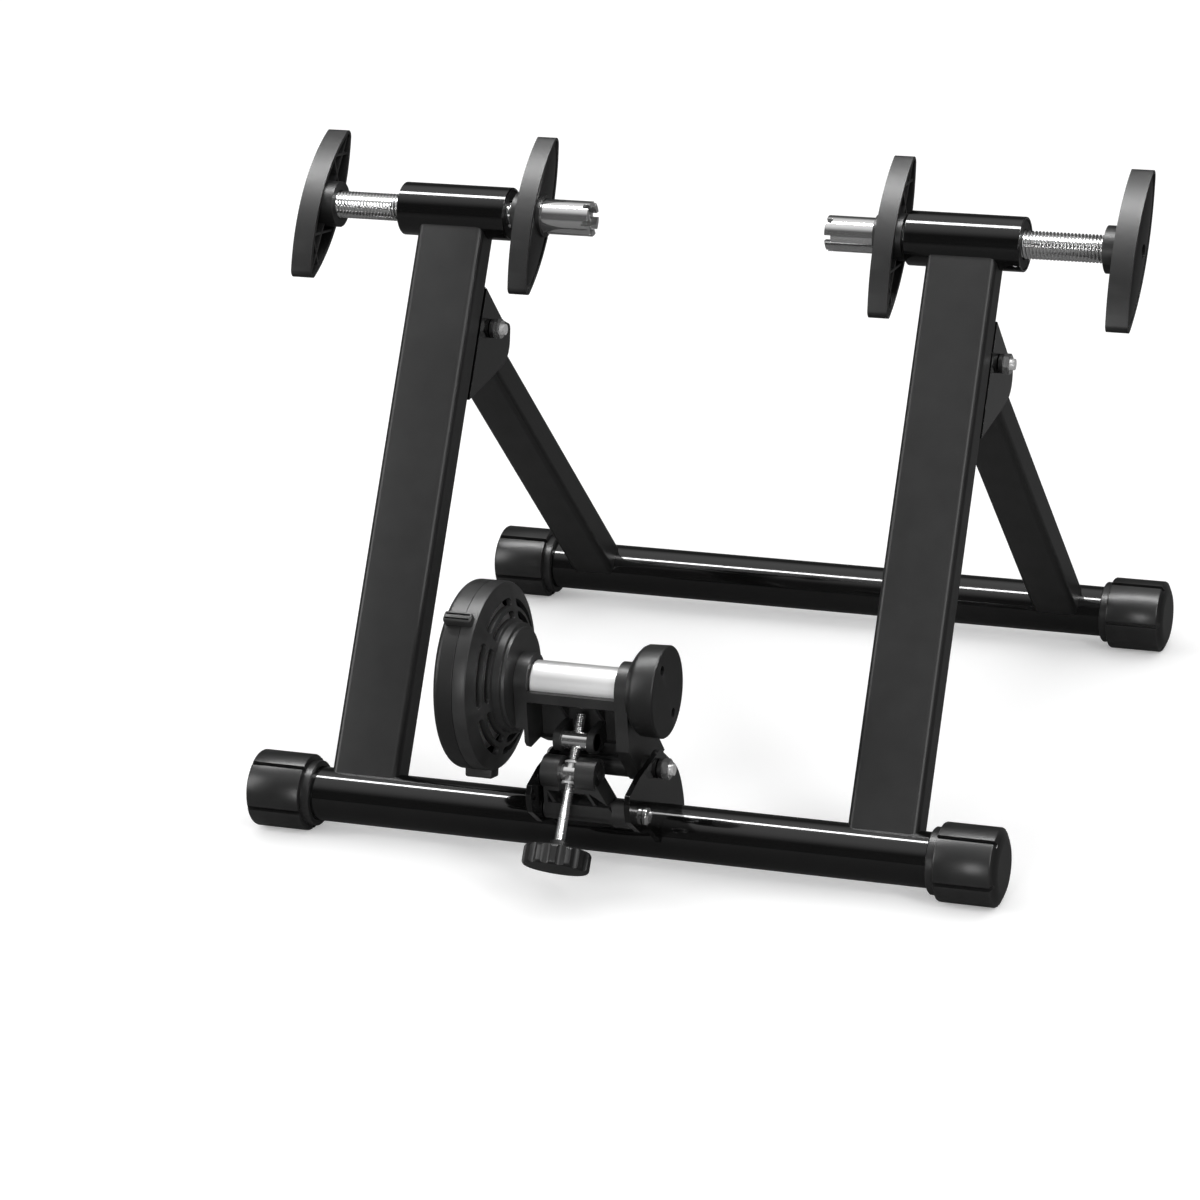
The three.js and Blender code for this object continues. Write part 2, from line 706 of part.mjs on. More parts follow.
function unitBracket() {
  const outer = half(unitBracketWidth);
  const inner = outer - unitBracketPlate;
  const shape = bracketShape();
  const reach = outer + overrun;
  return cut(
    join(slab(shape, -outer, -inner), slab(shape, inner, outer),
      bracketFloor(-inner - half(unitBracketPlate), inner + half(unitBracketPlate))),
    rod(tubeRadius + seatGap, -reach, reach, tubeSides, ...baseCentre),
    rod(half(pivotBoltDiameter) + seatGap, -reach, reach, smallSides, ...yokePivot),
    rod(half(armPinDiameter) + seatGap, -reach, reach, smallSides, ...armPin),
  );
}

place('unit_bracket', 'glossPaint', unitBracket());
place('yoke_pivot_bolt', 'zinc', hexBolt(-bracketEdge, bracketEdge, pivotBoltDiameter, yokePivot));
place('yoke_pivot_nut', 'chrome', hexNut(bracketEdge, pivotBoltDiameter, yokePivot));

place('arm_pin', 'chrome', join(
  rod(half(armPinDiameter), -bracketEdge - pinStubLength, bracketEdge + half(pinHeadThickness),
    smallSides, ...armPin),
  rod(half(pinHeadDiameter), bracketEdge + seatGap, bracketEdge + seatGap + pinHeadThickness,
    smallSides, ...armPin),
));
place('arm_pin_clip', 'zinc', cut(
  rod(half(clipDiameter), -bracketEdge - seatGap - clipThickness, -bracketEdge - seatGap,
    smallSides, ...armPin),
  rod(half(armPinDiameter) + seatGap, -bracketEdge - pinStubLength, -bracketEdge, smallSides, ...armPin),
));

// ribbed arm on the lower pin, with two bosses that hold the adjuster's trunnion

const armInner = bracketEdge - unitBracketPlate - runningGap;
const armRibShares = [0.08, 0.36, 0.64, 0.92];

// An outline in X and Z made solid from one Y to another.
function frontSlab(outline, fromY, toY) {
  const shape = new THREE.Shape(outline.map(([x, z]) => new THREE.Vector2(x, -z)));
  return new THREE.ExtrudeGeometry(shape, { depth: toY - fromY, bevelEnabled: false })
    .rotateX(-Math.PI / 2)
    .translate(0, fromY, 0);
}

function adjusterArm() {
  const left = -armInner;
  const edge = half(armWallThickness);
  const bossRight = adjusterPlane + half(bossGap) + bossWidth;
  const front = armPin[0] - half(armDepth);
  const back = armPin[0] + half(armDepth);
  const foot = armPin[1] - edge;
  const outline = [[left + edge, foot], [armFootReach, foot], [bossRight - edge, trunnion[1]],
    [left + edge, trunnion[1]]];
  const pocket = [
    [left + armWallThickness + edge, armPin[1] + armHubRadius - edge],
    [armFootReach - armWallThickness, armPin[1] + armHubRadius - edge],
    [bossRight - armWallThickness - edge, trunnion[1] - bossRadius + edge],
    [left + armWallThickness + edge, trunnion[1] - bossRadius + edge],
  ];
  const plate = cut(
    frontSlab(outline, front, back),
    frontSlab(pocket, front - overrun, back - armWallThickness),
  );
  const ribs = armRibShares.map((share) => block(armRibThickness, armDepth, 2 * armInner, 0, 0, 0)
    .rotateY(degrees(armRibTurn))
    .translate(left + share * (armFootReach - left), armPin[0], half(armPin[1] + trunnion[1])));
  const ribZone = frontSlab(outline, front + edge, back - edge);
  const slotFloor = armPin[1] + armHubRadius - edge;
  const slotTop = trunnion[1] + bossRadius + overrun;
  const slot = block(bossGap, armDepth + 4 * overrun, slotTop - slotFloor,
    adjusterPlane, armPin[0], half(slotTop + slotFloor));
  return cut(
    join(
      plate,
      keep(join(...ribs), ribZone),
      rod(bossRadius, left, bossRight, partSides, ...trunnion),
      rod(armHubRadius, left, armInner, partSides, ...armPin),
      rod(collarRadius, armFootReach - armWallThickness, armInner - edge, partSides, ...armPin),
    ),
    slot,
    screwTool(half(screwDiameter) + looseGap, -screwBelow, 0),
    rod(half(armPinDiameter) + seatGap, -uprightOffset, uprightOffset, smallSides, ...armPin),
    rod(half(trunnionDiameter) + seatGap, left + armWallThickness, bossRight - armWallThickness,
      smallSides, ...trunnion),
  );
}

place('adjuster_arm', 'moulding', adjusterArm());

// roller unit: yoke, resistance drum, bearing cap and what turns in them

const wallLeftInner = rollerCentre - half(rollerLength) - runningGap;
const wallRightInner = rollerCentre + half(rollerLength) + runningGap;
const wallLeftOuter = wallLeftInner - yokeWallThickness;
const wallRightOuter = wallRightInner + yokeWallThickness;
const yokeFaceFront = rollerAxis[0] - yokeTopRadius;
const alongScrew = (distance) => [
  trunnion[0] + distance * Math.sin(screwAngle),
  trunnion[1] + distance * Math.cos(screwAngle),
];
const adjusterNut = alongScrew(nutAlongScrew);
const bossStartAngle = 220;
const bossEndAngle = 300;

// Side view of a yoke wall: round over the roller, a straight front, a boss on the pivot, a foot behind.
function yokeWallShape(withFoot) {
  const shape = new THREE.Shape();
  const [pivotY, pivotZ] = yokePivot;
  const boss = yokeTubeRadius + half(yokeRibThickness);
  shape.moveTo(yokeFaceFront, rollerAxis[1]);
  shape.lineTo(yokeFaceFront, pivotZ + wallKneeRise);
  shape.absarc(pivotY, pivotZ, boss, degrees(bossStartAngle), degrees(bossEndAngle), false);
  if (withFoot) {
    shape.lineTo(pivotY + footReach, pivotZ - footDrop);
    shape.lineTo(pivotY + half(footReach), pivotZ + wallKneeRise);
  }
  shape.lineTo(rollerAxis[0] + yokeTopRadius, rollerAxis[1] - yokeArmDrop);
  shape.lineTo(rollerAxis[0] + yokeTopRadius, rollerAxis[1]);
  shape.absarc(rollerAxis[0], rollerAxis[1], yokeTopRadius, 0, Math.PI, false);
  return shape;
}

function yoke() {
  const leftWall = slab(yokeWallShape(false), wallLeftOuter, wallLeftInner);
  const rightWall = slab(yokeWallShape(true), wallRightInner, wallRightOuter);
  const clearHeight = 2 * bracketCrownRadius + wallKneeRise;
  const clearBracket = block(bracketEdge, uprightOffset, clearHeight,
    -armInner - half(bracketEdge), yokePivot[0], yokePivot[1] - half(wallKneeRise));
  const width = rollerLength + 2 * yokeWallThickness;
  const lipMiddle = rollerAxis[1] - lipDrop;
  const clearTop = yokePivot[1] + bracketCrownRadius;
  const clearSlant = frontSlab([[-armInner, clearTop], [wallLeftOuter, clearTop],
    [wallLeftOuter, clearTop + leftWallSlant]], -uprightOffset, uprightOffset);
  const clearHub = block(2 * yokeWallThickness, uprightOffset, 2 * footReach,
    wallLeftInner - webPlate - yokeWallThickness, rollerAxis[0], rollerAxis[1] - leftWallDrop - footReach);
  const lip = block(width, lipDepth, lipHeight, rollerCentre, yokeFaceFront + half(lipDepth), lipMiddle);
  const [webBack, webBottom] = yokePivot;
  const webTop = rollerAxis[1] - half(rollerDiameter) + yokeRibThickness;
  const web = block(width, webPlate, webTop - webBottom, rollerCentre, webBack, half(webTop + webBottom));
  const troughBack = webBack + half(webPlate);
  const trough = keep(
    rod(half(rollerDiameter) + runningGap + yokeRibThickness, wallLeftOuter + looseGap,
      wallRightOuter - looseGap, partSides, ...rollerAxis),
    block(width, troughBack - yokeFaceFront, rollerDiameter,
      rollerCentre, half(troughBack + yokeFaceFront), lipMiddle - half(rollerDiameter)),
  );
  const tube = rod(yokeTubeRadius, -armInner, armInner, partSides, ...yokePivot);
  const cradleLeft = adjusterPlane - half(barrelNutLength);
  const cradleRight = adjusterPlane + half(barrelNutLength);
  const cradleRadius = half(barrelNutDiameter) + cradleSkinThickness;
  const cradles = [cradleLeft, cradleRight - cradleWidth].flatMap((x) => [
    rod(cradleRadius, x, x + cradleWidth, partSides, ...adjusterNut),
    block(cradleWidth, webBack - adjusterNut[0], 2 * cradleRadius,
      x + half(cradleWidth), half(webBack + adjusterNut[0]), adjusterNut[1]),
  ]);
  const gusset = new THREE.Shape();
  gusset.moveTo(yokeFaceFront + lipDepth, lipMiddle);
  gusset.lineTo(webBack, adjusterNut[1] + half(barrelNutDiameter));
  gusset.lineTo(webBack, webTop);
  gusset.lineTo(rollerAxis[0], rollerAxis[1] - half(rollerDiameter) - runningGap);
  gusset.closePath();
  const gussets = [cradleLeft, cradleRight - yokeRibThickness].map((x) =>
    slab(gusset, x, x + yokeRibThickness));
  const bars = [-1, 1].map((step) => block(rollerLength + yokeWallThickness, barDepth, yokeRibThickness,
    rollerCentre, webBack - webPlate, half(webBottom + adjusterNut[1] + step * barPitch)));
  const body = join(leftWall, rightWall, lip, web, trough, tube, ...cradles, ...gussets, ...bars);
  const seat = half(bearingDiameter) + seatGap;
  return cut(
    body,
    clearBracket,
    clearSlant,
    clearHub,
    rod(half(pivotBoltDiameter) + seatGap, -uprightOffset, uprightOffset, smallSides, ...yokePivot),
    rod(seat, wallLeftOuter + looseGap, wallLeftInner + overrun, partSides, ...rollerAxis),
    rod(seat, wallRightInner - overrun, wallRightOuter - looseGap, partSides, ...rollerAxis),
    rod(half(shaftDiameter) + runningGap, -uprightOffset, uprightOffset, smallSides, ...rollerAxis),
    rod(half(rollerDiameter) + runningGap, wallLeftInner, wallRightInner, partSides, ...rollerAxis),
    rod(half(barrelNutDiameter) + seatGap, cradleLeft - overrun, cradleRight + overrun,
      smallSides, ...adjusterNut),
    screwTool(half(screwDiameter) + looseGap, washerThickness, screwAbove + overrun),
  );
}

place('yoke', 'moulding', yoke());

const drumFace = wallLeftOuter - seatGap;
const drumJoint = drumFace - drumHubRise - drumInnerWidth;
const drumBack = drumJoint - drumOuterWidth;
const shaftHole = half(shaftDiameter) + looseGap;
const drumDomeShares = [0.25, 0.52, 0.84];

// The vented shell beside the yoke: a rim, a shallow cone and a stepped hub.
function innerShell() {
  const rim = drumRadius;
  const wall = drumWallThickness;
  const face = drumFace - drumHubRise;
  const stepRadius = drumHubRadius + wall;
  const shoulder = face + drumHubRise * drumDomeShares[1];
  const profile = [
    [drumJoint, rim - wall], [drumJoint, rim], [face - half(wall), rim], [face, rim - wall],
    [face + drumHubRise * drumDomeShares[0], ventOuterRadius],
    [shoulder, stepRadius],
    [face + drumHubRise * drumDomeShares[2], stepRadius], [drumFace, drumHubRadius], [drumFace, shaftHole],
    [drumFace - wall, shaftHole], [drumFace - wall, drumHubRadius - wall],
    [shoulder - wall, drumHubRadius], [face - wall, rim - 2 * wall], [face - wall, rim - wall],
    [drumJoint, rim - wall],
  ];
  return cut(turned(profile, drumSides), ...vents());
}

// Curved vent slots in sectors, an outer and an inner one in each.
function vents() {
  const slots = [];
  for (let i = 0; i < ventSectors; i += 1) {
    const middle = Math.PI / 2 + degrees(ventTurn) + (i * 2 * Math.PI) / ventSectors;
    const swing = half(degrees(ventSweep));
    for (const radius of [ventOuterRadius, ventInnerRadius]) {
      const shape = new THREE.Shape();
      shape.absarc(0, 0, radius + half(ventWidth), middle - swing, middle + swing, false);
      shape.absarc(radius * Math.cos(middle + swing), radius * Math.sin(middle + swing), half(ventWidth),
        middle + swing, middle + swing + Math.PI, false);
      shape.absarc(0, 0, radius - half(ventWidth), middle + swing, middle - swing, true);
      shape.absarc(radius * Math.cos(middle - swing), radius * Math.sin(middle - swing), half(ventWidth),
        middle - swing + Math.PI, middle - swing + 2 * Math.PI, false);
      slots.push(slab(shape, drumJoint + drumWallThickness, drumFace + overrun, ventSteps));
    }
  }
  return slots;
}

function outerShell() {
  const rim = drumRadius;
  const wall = drumWallThickness;
  const round = drumCorner * (1 - Math.SQRT1_2);
  return turned([
    [drumJoint - seatGap, rim], [drumBack + drumCorner, rim], [drumBack + round, rim - round],
    [drumBack, rim - drumCorner], [drumBack, 0], [drumBack + wall, 0], [drumBack + wall, rim - drumCorner],
    [drumBack + drumCorner, rim - wall], [drumJoint - seatGap, rim - wall], [drumJoint - seatGap, rim],
  ], drumSides);
}

// A clip that holds the two shells together: a ridged pad on the inner rim, reaching over the outer one.
function drumClip(turn) {
  const centre = half(drumFace - drumHubRise + drumBack);
  const pad = block(clipLength, clipRise + drumWallThickness, clipWidth,
    centre, -drumRadius - half(clipRise - drumWallThickness), 0);
  const grooveFloor = drumRadius + clipRise - clipGrooveDepth;
  const grooves = [-1, 1].map((side) => block(clipRidgeLength, clipRise, clipGrooveWidth,
    centre, -grooveFloor - half(clipRise), side * clipGrooveOffset));
  const shape = cut(pad, ...grooves);
  const round = rod(drumRadius + seatGap, drumBack - overrun, drumJoint - half(seatGap), drumSides);
  return cut(shape.rotateX(degrees(turn)), round);
}

place('drum_shell_inner', 'moulding',
  join(innerShell(), ...clipTurns.map(drumClip)).translate(0, ...rollerAxis));
place('drum_shell_outer', 'moulding', outerShell().translate(0, ...rollerAxis));

// magnet side, fixed to the outer shell
const plateBack = drumBack + drumWallThickness + seatGap;
const plateFace = plateBack + drumWallThickness;

function magnetPlate() {
  const pieces = [rod(rotorRadius, plateBack, plateFace, partSides, ...rollerAxis)];
  for (let i = 0; i < magnetCount; i += 1) {
    const angle = (i * 2 * Math.PI) / magnetCount;
    pieces.push(rod(half(magnetDiameter), half(plateBack + plateFace), plateFace + magnetThickness, magnetSides,
      rollerAxis[0] + magnetRadius * Math.cos(angle), rollerAxis[1] + magnetRadius * Math.sin(angle)));
  }
  return join(...pieces);
}

place('magnet_plate', 'magnet', magnetPlate());

const rotorBack = plateFace + magnetThickness + looseGap;
place('brake_disc', 'aluminium', cut(
  join(
    rod(rotorRadius, rotorBack, rotorBack + rotorThickness, tubeSides, ...rollerAxis),
    rod(shaftDiameter, rotorBack, rotorBack + rotorHubLength, partSides, ...rollerAxis),
  ),
  rod(half(shaftDiameter) + seatGap, rotorBack - overrun, rotorBack + rotorHubLength + overrun,
    smallSides, ...rollerAxis),
));

const shaftEnd = wallRightOuter + half(bearingCapLength);
place('roller_shaft', 'zinc',
  rod(half(shaftDiameter), rotorBack - half(runningGap), shaftEnd, smallSides, ...rollerAxis));
place('roller', 'rollerSteel', cut(
  turned([
    [wallLeftInner + runningGap, 0], [wallLeftInner + runningGap, half(rollerDiameter) - runningGap],
    [wallLeftInner + looseGap, half(rollerDiameter)], [wallRightInner - looseGap, half(rollerDiameter)],
    [wallRightInner - runningGap, half(rollerDiameter) - runningGap], [wallRightInner - runningGap, 0],
  ], tubeSides, ...rollerAxis),
  rod(half(shaftDiameter) + seatGap, wallLeftInner - overrun, wallRightInner + overrun,
    smallSides, ...rollerAxis),
));

function bearing(fromX) {
  return cut(
    rod(half(bearingDiameter), fromX, fromX + bearingWidth - runningGap, partSides, ...rollerAxis),
    rod(half(shaftDiameter) + seatGap, fromX - overrun, fromX + bearingWidth + overrun,
      smallSides, ...rollerAxis),
  );
}

place('bearing_left', 'chrome', bearing(wallLeftOuter + looseGap + seatGap));
place('bearing_right', 'chrome', bearing(wallRightInner + seatGap));

// Bearing cap: a cone out of the yoke, a round body and two screw holes in its end face.
const capScrewPlaces = [0, Math.PI].map((turn) => {
  const angle = turn + Math.PI / 2 + degrees(capScrewTurn);
  return [rollerAxis[0] + capScrewRadius * Math.cos(angle), rollerAxis[1] + capScrewRadius * Math.sin(angle)];
});

function bearingCap() {
  const start = wallRightOuter + seatGap;
  const end = start + bearingCapLength;
  const body = turned([
    [start, 0], [start, bearingCapNeck], [start + bearingCapTaper, bearingCapRadius - runningGap],
    [end - looseGap, bearingCapRadius], [end, bearingCapRadius - looseGap], [end, 0],
  ], tubeSides, ...rollerAxis);
  const bore = rod(shaftHole, start - overrun, shaftEnd + looseGap, smallSides, ...rollerAxis);
  const holes = capScrewPlaces.map((centre) => rod(
    half(screwHeadDiameter) + seatGap, end - screwHoleDepth, end + overrun, smallSides, ...centre));
  return cut(body, bore, ...holes);
}

place('bearing_cap', 'moulding', bearingCap());

capScrewPlaces.forEach((centre, i) => {
  const floor = wallRightOuter + seatGap + bearingCapLength - screwHoleDepth + seatGap;
  const head = rod(half(screwHeadDiameter), floor, floor + screwHeadHeight, smallSides, ...centre);
  const socket = hexPrism(half(screwHeadDiameter), floor + screwHeadHeight - screwSocketDepth,
    floor + screwHeadHeight + overrun, ...centre);
  place(`cap_screw_${i + 1}`, 'zinc', cut(head, socket));
});

// adjuster: barrel nut in the yoke, trunnion in the arm, screw and hand knob

place('barrel_nut', 'chrome', cut(
  rod(half(barrelNutDiameter), adjusterPlane - half(barrelNutLength), adjusterPlane + half(barrelNutLength),
    smallSides, ...adjusterNut),
  screwTool(half(threadDiameter) + runningGap, -screwBelow, screwAbove + overrun),
));

// A round bar on the screw's axis between two distances from the trunnion.
function screwTool(radius, from, to, sides = smallSides) {
  return new THREE.CylinderGeometry(radius, radius, to - from, sides)
    .translate(0, half(from + to), 0)
    .rotateX(Math.PI / 2 - screwAngle)
    .translate(adjusterPlane, ...trunnion);
}

const trunnionReach = half(bossGap) + trunnionSeatDepth;
place('trunnion', 'chrome', cut(
  join(
    rod(half(trunnionDiameter), adjusterPlane - trunnionReach, adjusterPlane + trunnionReach,
      smallSides, ...trunnion),
    screwTool(half(bossGap) - runningGap, -half(trunnionDiameter), half(trunnionDiameter)),
  ),
  screwTool(half(screwDiameter) + seatGap, -screwBelow, screwAbove),
));

const shoulder = half(trunnionDiameter) + seatGap;
for (const [level, from, to] of [
  ['lower', -shoulder - washerThickness, -shoulder],
  ['upper', shoulder, shoulder + washerThickness],
]) {
  place(`thrust_washer_${level}`, 'zinc', cut(
    screwTool(half(bossGap) - runningGap, from, to),
    screwTool(half(screwDiameter) + seatGap, -screwBelow, screwAbove),
  ));
}

place('adjusting_screw', 'chrome', join(
  screwTool(half(screwDiameter), -screwBelow, shoulder + washerThickness + half(washerThickness)),
  screwTool(half(threadDiameter), shoulder, screwAbove),
));

// Hand knob: a fluted round grip with a domed edge and a neck towards the arm.
function handKnob() {
  const top = -screwBelow - seatGap;
  const grip = half(knobDiameter);
  const neck = half(knobNeckDiameter);
  const profile = [
    [0, 0], [0, neck], [-knobNeckHeight, neck + half(knobCorner)], [-knobNeckHeight, grip - knobCorner],
    [-knobNeckHeight - knobCorner, grip], [-knobNeckHeight - knobHeight + knobCorner, grip],
    [-knobNeckHeight - knobHeight, grip - knobCorner], [-knobNeckHeight - knobHeight, 0],
  ];
  const points = profile.map(([along, radius]) => new THREE.Vector2(radius, along));
  const body = new THREE.LatheGeometry(points, tubeSides);
  const flutes = [];
  const away = grip + knobFluteRadius - knobFluteDepth;
  for (let i = 0; i < knobFlutes; i += 1) {
    const angle = (i * 2 * Math.PI) / knobFlutes;
    const flute = new THREE.CylinderGeometry(knobFluteRadius, knobFluteRadius, 2 * knobHeight, smallSides);
    flutes.push(flute.translate(
      away * Math.cos(angle), -knobNeckHeight - half(knobHeight), away * Math.sin(angle)));
  }
  return cut(body, ...flutes)
    .translate(0, top, 0)
    .rotateX(Math.PI / 2 - screwAngle)
    .translate(adjusterPlane, ...trunnion);
}

place('adjusting_knob', 'moulding', handKnob());

// origin at the middle of the footprint, on the floor
const box = new THREE.Box3().setFromObject(stand, true);
stand.position.set(-half(box.min.x + box.max.x), -half(box.min.y + box.max.y), -box.min.z);
stand.updateMatrixWorld(true);

export default stand;
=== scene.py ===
import math
import bmesh
import bpy
from mathutils import Matrix, Vector


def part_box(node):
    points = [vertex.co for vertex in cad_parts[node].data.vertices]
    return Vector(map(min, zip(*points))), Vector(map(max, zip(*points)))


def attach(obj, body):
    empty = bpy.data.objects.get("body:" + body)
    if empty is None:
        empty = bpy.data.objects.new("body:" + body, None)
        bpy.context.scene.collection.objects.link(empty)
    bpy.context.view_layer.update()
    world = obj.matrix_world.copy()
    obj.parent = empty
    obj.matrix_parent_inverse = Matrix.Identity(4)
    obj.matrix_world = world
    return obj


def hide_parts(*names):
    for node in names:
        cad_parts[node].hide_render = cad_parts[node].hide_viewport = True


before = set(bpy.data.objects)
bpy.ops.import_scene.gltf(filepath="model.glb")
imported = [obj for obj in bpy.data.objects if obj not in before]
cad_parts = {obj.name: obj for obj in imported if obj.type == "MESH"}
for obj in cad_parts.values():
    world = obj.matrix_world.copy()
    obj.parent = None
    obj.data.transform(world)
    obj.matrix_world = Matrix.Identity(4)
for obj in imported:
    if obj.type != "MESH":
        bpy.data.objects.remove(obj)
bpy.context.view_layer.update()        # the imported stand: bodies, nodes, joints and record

# Pieces are modelled in millimetres: Y from the front tube's axis, Z from the floor,
# X from the middle between the uprights. They are put in the frame's metres when finished.
unit = 0.001
tubeLow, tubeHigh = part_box("front_base_tube")
shift = Vector(((tubeLow.x + tubeHigh.x) / 2, (tubeLow.y + tubeHigh.y) / 2, 0))
toFrame = Matrix.Translation(shift) @ Matrix.Scale(unit, 4)
fullTurn = 2 * math.pi
over = 3        # how far a cutting tool runs past what it cuts
fit = 0.3       # the gap between seated pieces
rad = math.radians


# materials

def socket(group, name, kind, side="INPUT", value=None):
    made = group.interface.new_socket(name=name, in_out=side, socket_type=kind)
    if value is not None:
        made.default_value = value
    return made


# Adds a shader node. An input is given as a value, or as the socket that feeds it.
def addNode(tree, kind, inputs=None, **settings):
    made = tree.nodes.new(kind)
    for name, value in settings.items():
        setattr(made, name, value)
    for name, value in (inputs or {}).items():
        if isinstance(value, bpy.types.NodeSocket):
            tree.links.new(value, made.inputs[name])
        else:
            made.inputs[name].default_value = value
    return made


def compute(tree, operation, *values):
    return addNode(tree, "ShaderNodeMath", dict(enumerate(values)), operation=operation).outputs[0]


# Grain: mottles a colour, varies the roughness and gives a fine height.
def buildGrain():
    group = bpy.data.node_groups.new("grain", "ShaderNodeTree")
    socket(group, "Colour", "NodeSocketColor")
    levels = {"Mottle": 0.1, "Roughness": 0.4, "Variation": 0.08, "Fine Scale": 1500, "Broad Scale": 18}
    for name, value in levels.items():
        socket(group, name, "NodeSocketFloat", value=value)
    socket(group, "Colour", "NodeSocketColor", "OUTPUT")
    socket(group, "Roughness", "NodeSocketFloat", "OUTPUT")
    socket(group, "Height", "NodeSocketFloat", "OUTPUT")
    given = addNode(group, "NodeGroupInput").outputs
    place = addNode(group, "ShaderNodeTexCoord").outputs["Object"]
    fine = addNode(group, "ShaderNodeTexNoise",
                   {"Vector": place, "Scale": given["Fine Scale"], "Detail": 4})
    broad = addNode(group, "ShaderNodeTexNoise",
                    {"Vector": place, "Scale": given["Broad Scale"], "Detail": 6})
    centred = compute(group, "SUBTRACT", broad.outputs["Fac"], 0.5)
    bright = compute(group, "ADD", compute(group, "MULTIPLY", centred, given["Mottle"]), 1)
    shade = addNode(group, "ShaderNodeVectorMath", {0: given["Colour"], "Scale": bright}, operation="SCALE")
    spread = compute(group, "MULTIPLY_ADD", centred, given["Variation"], given["Roughness"])
    addNode(group, "NodeGroupOutput",
            {"Colour": shade.outputs[0], "Roughness": spread, "Height": fine.outputs["Fac"]})
    return group


# Edges: a mask of sharp edges, broken up by noise. It mixes in a second colour, which is a painted sheen on
# the black finishes and scuffs on the metals.
def buildEdgeScuffSheen():
    group = bpy.data.node_groups.new("edge scuffs and sheen", "ShaderNodeTree")
    socket(group, "Colour", "NodeSocketColor")
    socket(group, "Scuff and Sheen Colour", "NodeSocketColor")
    socket(group, "Amount", "NodeSocketFloat", value=0.3)
    socket(group, "Colour", "NodeSocketColor", "OUTPUT")
    socket(group, "Mask", "NodeSocketFloat", "OUTPUT")
    given = addNode(group, "NodeGroupInput").outputs
    shape = addNode(group, "ShaderNodeNewGeometry")
    edge = addNode(group, "ShaderNodeMapRange",
                   {"From Min": 0.53, "From Max": 0.66, "Value": shape.outputs["Pointiness"]})
    place = addNode(group, "ShaderNodeTexCoord").outputs["Object"]
    breakup = addNode(group, "ShaderNodeTexNoise", {"Vector": place, "Scale": 60, "Detail": 5})
    mask = compute(group, "MULTIPLY", edge.outputs[0], breakup.outputs["Fac"])
    scaled = compute(group, "MULTIPLY", mask, given["Amount"])
    mix = addNode(group, "ShaderNodeMix", data_type="RGBA")
    for slot, source in ((0, scaled), (6, given["Colour"]), (7, given["Scuff and Sheen Colour"])):
        group.links.new(source, mix.inputs[slot])
    addNode(group, "NodeGroupOutput", {"Colour": mix.outputs[2], "Mask": scaled})
    return group


grain = buildGrain()
edgeScuffSheen = buildEdgeScuffSheen()

# Each finish: colour, roughness, how mottled it is, the fine texture and its depth in metres; its edge mix is
# painted sheen and scuffs.
finishes = {
    "glossEnamel": dict(colour=0.0015, rough=0.1, mottle=0.2, vary=0.03, fine=420, depth=0.000012,
                        spec=0.5, coat=0.35, edgeScuffSheen=0.12, scuffSheenColour=0.03),
    "satinPowder": dict(colour=0.004, rough=0.37, mottle=0.3, vary=0.06, fine=2600, depth=0.00003,
                        spec=0.5, edgeScuffSheen=0.4, scuffSheenColour=0.04),
    "capPlastic": dict(colour=0.004, rough=0.33, mottle=0.3, vary=0.08, fine=1800, depth=0.00002,
                       spec=0.5, edgeScuffSheen=0.4, scuffSheenColour=0.04),
    "mouldedNylon": dict(colour=0.005, rough=0.4, mottle=0.35, vary=0.08, fine=2200, depth=0.00003,
                         spec=0.5, edgeScuffSheen=0.5, scuffSheenColour=0.04),
    "blackNylon": dict(colour=0.004, rough=0.45, mottle=0.3, vary=0.08, fine=2200, depth=0.00003,
                       spec=0.4, edgeScuffSheen=0.2, scuffSheenColour=0.03),
    "brightChrome": dict(colour=0.82, rough=0.11, mottle=0.1, vary=0.06, fine=900, depth=0.000004,
                         metal=0.97, edgeScuffSheen=0.3, scuffSheenColour=0.6),
    "brightZinc": dict(colour=0.7, rough=0.27, mottle=0.2, vary=0.1, fine=1400, depth=0.00001,
                       metal=0.6, edgeScuffSheen=0.4, scuffSheenColour=0.8),
    "castAluminium": dict(colour=0.62, rough=0.4, mottle=0.15, vary=0.1, fine=1600, depth=0.00002,
                          metal=0.8, edgeScuffSheen=0.3, scuffSheenColour=0.8),
    "magnetPlate": dict(colour=0.35, rough=0.35, mottle=0.15, vary=0.1, fine=1600, depth=0.00001,
                        metal=0.9, edgeScuffSheen=0.3, scuffSheenColour=0.6),
}


